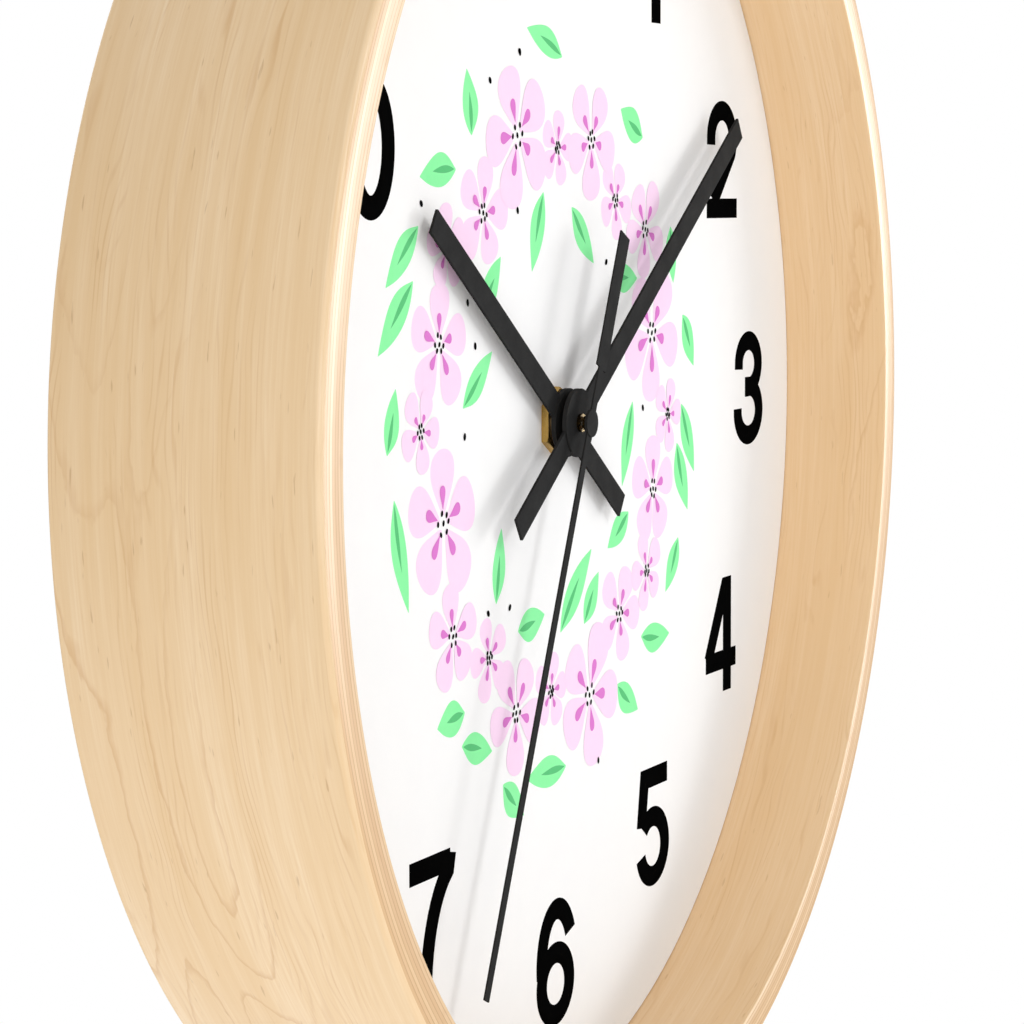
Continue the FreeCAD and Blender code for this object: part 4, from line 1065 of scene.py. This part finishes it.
@dataclass
class CarriedNodes:
    """The model's own nodes, each given its finish."""

    def build(self) -> None:
        """Dresses every node that the model keeps."""
        hub = centre_of("dial_sheet")
        middle = (hub.x, 0.0, hub.z)
        cell_low, cell_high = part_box("battery_cell")
        plan = (
            (Finish("brass_turned", tint(206, 170, 96), tint(170, 132, 62), 900.0, 0.5, 0.3, 0.08, 0.004,
                    1.0, pattern=Pattern.TURNED, centre=middle),
             ("hex_nut",)),
            # Painted reflection: a darkened copy of the turned brass, standing in for the dark hands and case
            # that the arbor and tube mirror.
            (Finish("brass_painted_dark_reflection", tint(112, 92, 52), tint(70, 56, 30), 900.0, 0.5, 0.22, 0.06, 0.003, 1.0,
                    pattern=Pattern.TURNED, centre=middle),
             ("minute_arbor", "second_hand_tube")),
            (Finish("steel_turned", tint(190, 192, 196), tint(140, 142, 148), 900.0, 0.5, 0.3, 0.08, 0.004,
                    1.0, pattern=Pattern.TURNED, centre=middle),
             ("threaded_bush", "second_arbor", "clutch_spring")),
            (Finish("nickel_plated", tint(205, 205, 203), tint(165, 165, 160), 400.0, 0.4, 0.22, 0.06,
                    0.004, 1.0),
             ("contact_positive", "contact_negative", "quartz_crystal")),
            (Finish("stator_iron", tint(150, 152, 158), tint(110, 112, 120), 500.0, 0.5, 0.38, 0.08, 0.006,
                    1.0, pattern=Pattern.DRAWN, along=(1.0, 8.0, 14.0)),
             ("stator_plate", "coil_core")),
            (Finish("hand_paint", tint(40, 40, 40), tint(34, 34, 35), 260.0, 0.5, 0.75, 0.05, 0.004,
                    gloss=0.05),
             ("hour_hand", "minute_hand", "second_hand")),
            (Finish("dial_paper", tint(249, 249, 249), tint(246, 246, 247), 180.0, 0.5, 0.7, 0.04, 0.003,
                    gloss=0.1),
             ("dial_sheet",)),
            (Finish("fibreboard", tint(150, 117, 82), tint(118, 89, 60), 620.0, 0.7, 0.8, 0.06, 0.04),
             ("backing_board",)),
            (Finish("case_plastic", tint(34, 34, 36), tint(46, 46, 48), 700.0, 0.6, 0.52, 0.08, 0.02),
             ("movement_case", "rear_cover")),
            (Finish("knob_plastic", tint(58, 58, 60), tint(72, 72, 74), 500.0, 0.6, 0.45, 0.06, 0.012),
             ("set_knob",)),
            (Finish("gear_plastic", tint(236, 234, 224), tint(220, 216, 202), 400.0, 0.5, 0.42, 0.06,
                    0.006),
             ("middle_plate", "reverse_wheel", "hour_wheel", "centre_wheel", "third_wheel", "second_wheel",
              "intermediate_wheel", "rotor_pinion", "setting_pinion")),
            (Finish("magnet_black", tint(54, 54, 58), tint(72, 72, 76), 800.0, 0.5, 0.4, 0.08, 0.008, 0.6),
             ("rotor_magnet",)),
            (Finish("bobbin_plastic", tint(40, 84, 150), tint(54, 100, 168), 500.0, 0.5, 0.42, 0.06, 0.008),
             ("coil_bobbin",)),
            (Finish("enamelled_wire", tint(184, 92, 44), tint(120, 52, 22), 500.0, 0.5, 0.3, 0.06, 0.05,
                    0.8, pattern=Pattern.WOUND),
             ("coil_winding",)),
            (Finish("circuit_laminate", tint(28, 96, 56), tint(18, 70, 40), 420.0, 0.7, 0.35, 0.06, 0.01,
                    coat=0.3),
             ("circuit_board",)),
            (Finish("chip_resin", tint(22, 22, 24), tint(36, 36, 38), 700.0, 0.5, 0.25, 0.06, 0.02),
             ("control_chip",)),
            (Finish("gasket_rubber", tint(30, 30, 30), tint(40, 40, 40), 600.0, 0.6, 0.75, 0.06, 0.02),
             ("board_gasket",)),
            (Finish("maple_block", tint(226, 194, 148), tint(196, 154, 104), 300.0, 0.7, 0.6, 0.06, 0.03,
                    pattern=Pattern.DRAWN, along=(1.0, 0.15, 1.0)),
             ("glue_blocks",)),
            (CellFinish("cell_sleeve", cell_low.x, cell_high.x),
             ("battery_cell",)),
        )
        for finish, nodes in plan:
            for node in nodes:
                self.dress(node, finish.material())

    def dress(self, node: str, material: bpy.types.Material) -> None:
        """Puts a material on every slot of a model node."""
        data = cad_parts[node].data
        if not data.materials:
            data.materials.append(material)
        for index in range(len(data.materials)):
            data.materials[index] = material
        LOG.info("%s: %s", node, material.name)


@dataclass
class Studio:
    """Floor, lights, sky and camera."""

    azimuth: float = -65.4
    elevation: float = 5.51
    roll: float = -0.22
    distance: float = 0.5645
    lens: float = 113.6
    aim: tuple[float, float, float] = (-0.0045, 0.0061, -0.0156)
    floor_drop: float = 0.45
    floor_size: float = 2.4
    floor_glow: float = 0.35
    sky_strength: float = 0.42

    def build(self) -> None:
        """Sets up the floor, the lights and the camera."""
        self.centre = centre_of("dial_sheet")
        self.centre.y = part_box("dial_sheet")[0].y
        self.build_floor()
        self.build_sky()
        self.build_lights()
        self.build_camera()

    def build_floor(self) -> None:
        """Builds a wide pale floor, well below the clock."""
        Bench.clear()
        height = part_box("wood_hoop")[0].z - self.floor_drop
        bpy.ops.mesh.primitive_plane_add(size=self.floor_size, location=(0, 0, height))
        floor = bpy.context.object
        floor.name = "studio_floor"
        bpy.ops.object.transform_apply(location=True)
        finish = Finish("floor_white", tint(252, 252, 252), tint(248, 248, 248), 3.0, 0.5, 0.9, 0.03, 0.01)
        material = finish.material()
        shader = material.node_tree.nodes["Principled BSDF"]
        shader.inputs["Emission Color"].default_value = WHITE
        shader.inputs["Emission Strength"].default_value = self.floor_glow
        floor.data.materials.append(material)

    def build_sky(self) -> None:
        """Lights the scene evenly from all round with plain white."""
        world = bpy.data.worlds.new("studio_sky")
        bpy.context.scene.world = world
        world.use_nodes = True
        graph = Graph(world.node_tree)
        sky = world.node_tree.nodes["Background"]
        sky.inputs["Color"].default_value = WHITE
        seen = graph.add("LightPath").outputs["Is Camera Ray"]
        graph.feed(sky.inputs["Strength"], graph.fit(seen, 0.0, 1.0, self.sky_strength, 1.0))
        bpy.context.scene.view_settings.view_transform = "Standard"

    def lamp(self, name: str, place: Vector, size: float, power: float) -> None:
        """Adds a square soft light aimed at the dial.

        Args:
            name: the lamp's name.
            place: where it stands, from the dial's middle.
            size: its side, in metres.
            power: its power, in watts.
        """
        data = bpy.data.lights.new(name, "AREA")
        data.shape = "SQUARE"
        data.size = size
        data.energy = power
        item = bpy.data.objects.new(name, data)
        item.location = self.centre + place
        item.rotation_mode = "QUATERNION"
        item.rotation_quaternion = (-place).to_track_quat("-Z", "Y")
        bpy.context.scene.collection.objects.link(item)

    def build_lights(self) -> None:
        """Adds a high front lamp, two from the right, a broad one from the left and one behind."""
        for name, place, size, power in (
                ("front_lamp", (-0.2, -1.4, 0.7), 0.5, 5.6),
                ("right_lamp", (1.2, -0.92, -0.1), 0.35, 4.0),
                ("far_right_lamp", (1.35, -0.7, 0.1), 0.35, 3.4),
                ("left_lamp", (-1.4, -0.5, 0.3), 1.4, 8.4),
                ("back_lamp", (0.5, 1.7, 0.9), 1.2, 10.0)):
            self.lamp(name, Vector(place), size, power)

    def build_camera(self) -> None:
        """Places the camera to the left of the dial, a little above its middle."""
        across, up = math.radians(self.azimuth), math.radians(self.elevation)
        back = Vector((math.sin(across) * math.cos(up), -math.cos(across) * math.cos(up), math.sin(up)))
        data = bpy.data.cameras.new("studio_camera")
        data.lens = self.lens
        data.sensor_width = 36.0
        data.clip_start = 0.01
        data.clip_end = 60.0
        data.dof.use_dof = False
        camera = bpy.data.objects.new("studio_camera", data)
        camera.location = self.centre + Vector(self.aim) + back * self.distance
        camera.rotation_mode = "QUATERNION"
        level = (-back).to_track_quat("-Z", "Y").to_matrix().to_4x4()
        rolled = level @ Matrix.Rotation(math.radians(self.roll), 4, "Z")
        camera.rotation_quaternion = rolled.to_quaternion()
        bpy.context.scene.collection.objects.link(camera)
        bpy.context.scene.camera = camera


def main() -> None:
    """Builds the whole scene."""
    logging.basicConfig(level=logging.INFO, format="%(message)s")
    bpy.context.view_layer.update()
    Hoop().build()
    Print().build()
    CaseMarks().build()
    CarriedNodes().build()
    Studio().build()


if __name__ == "__main__":
    main()
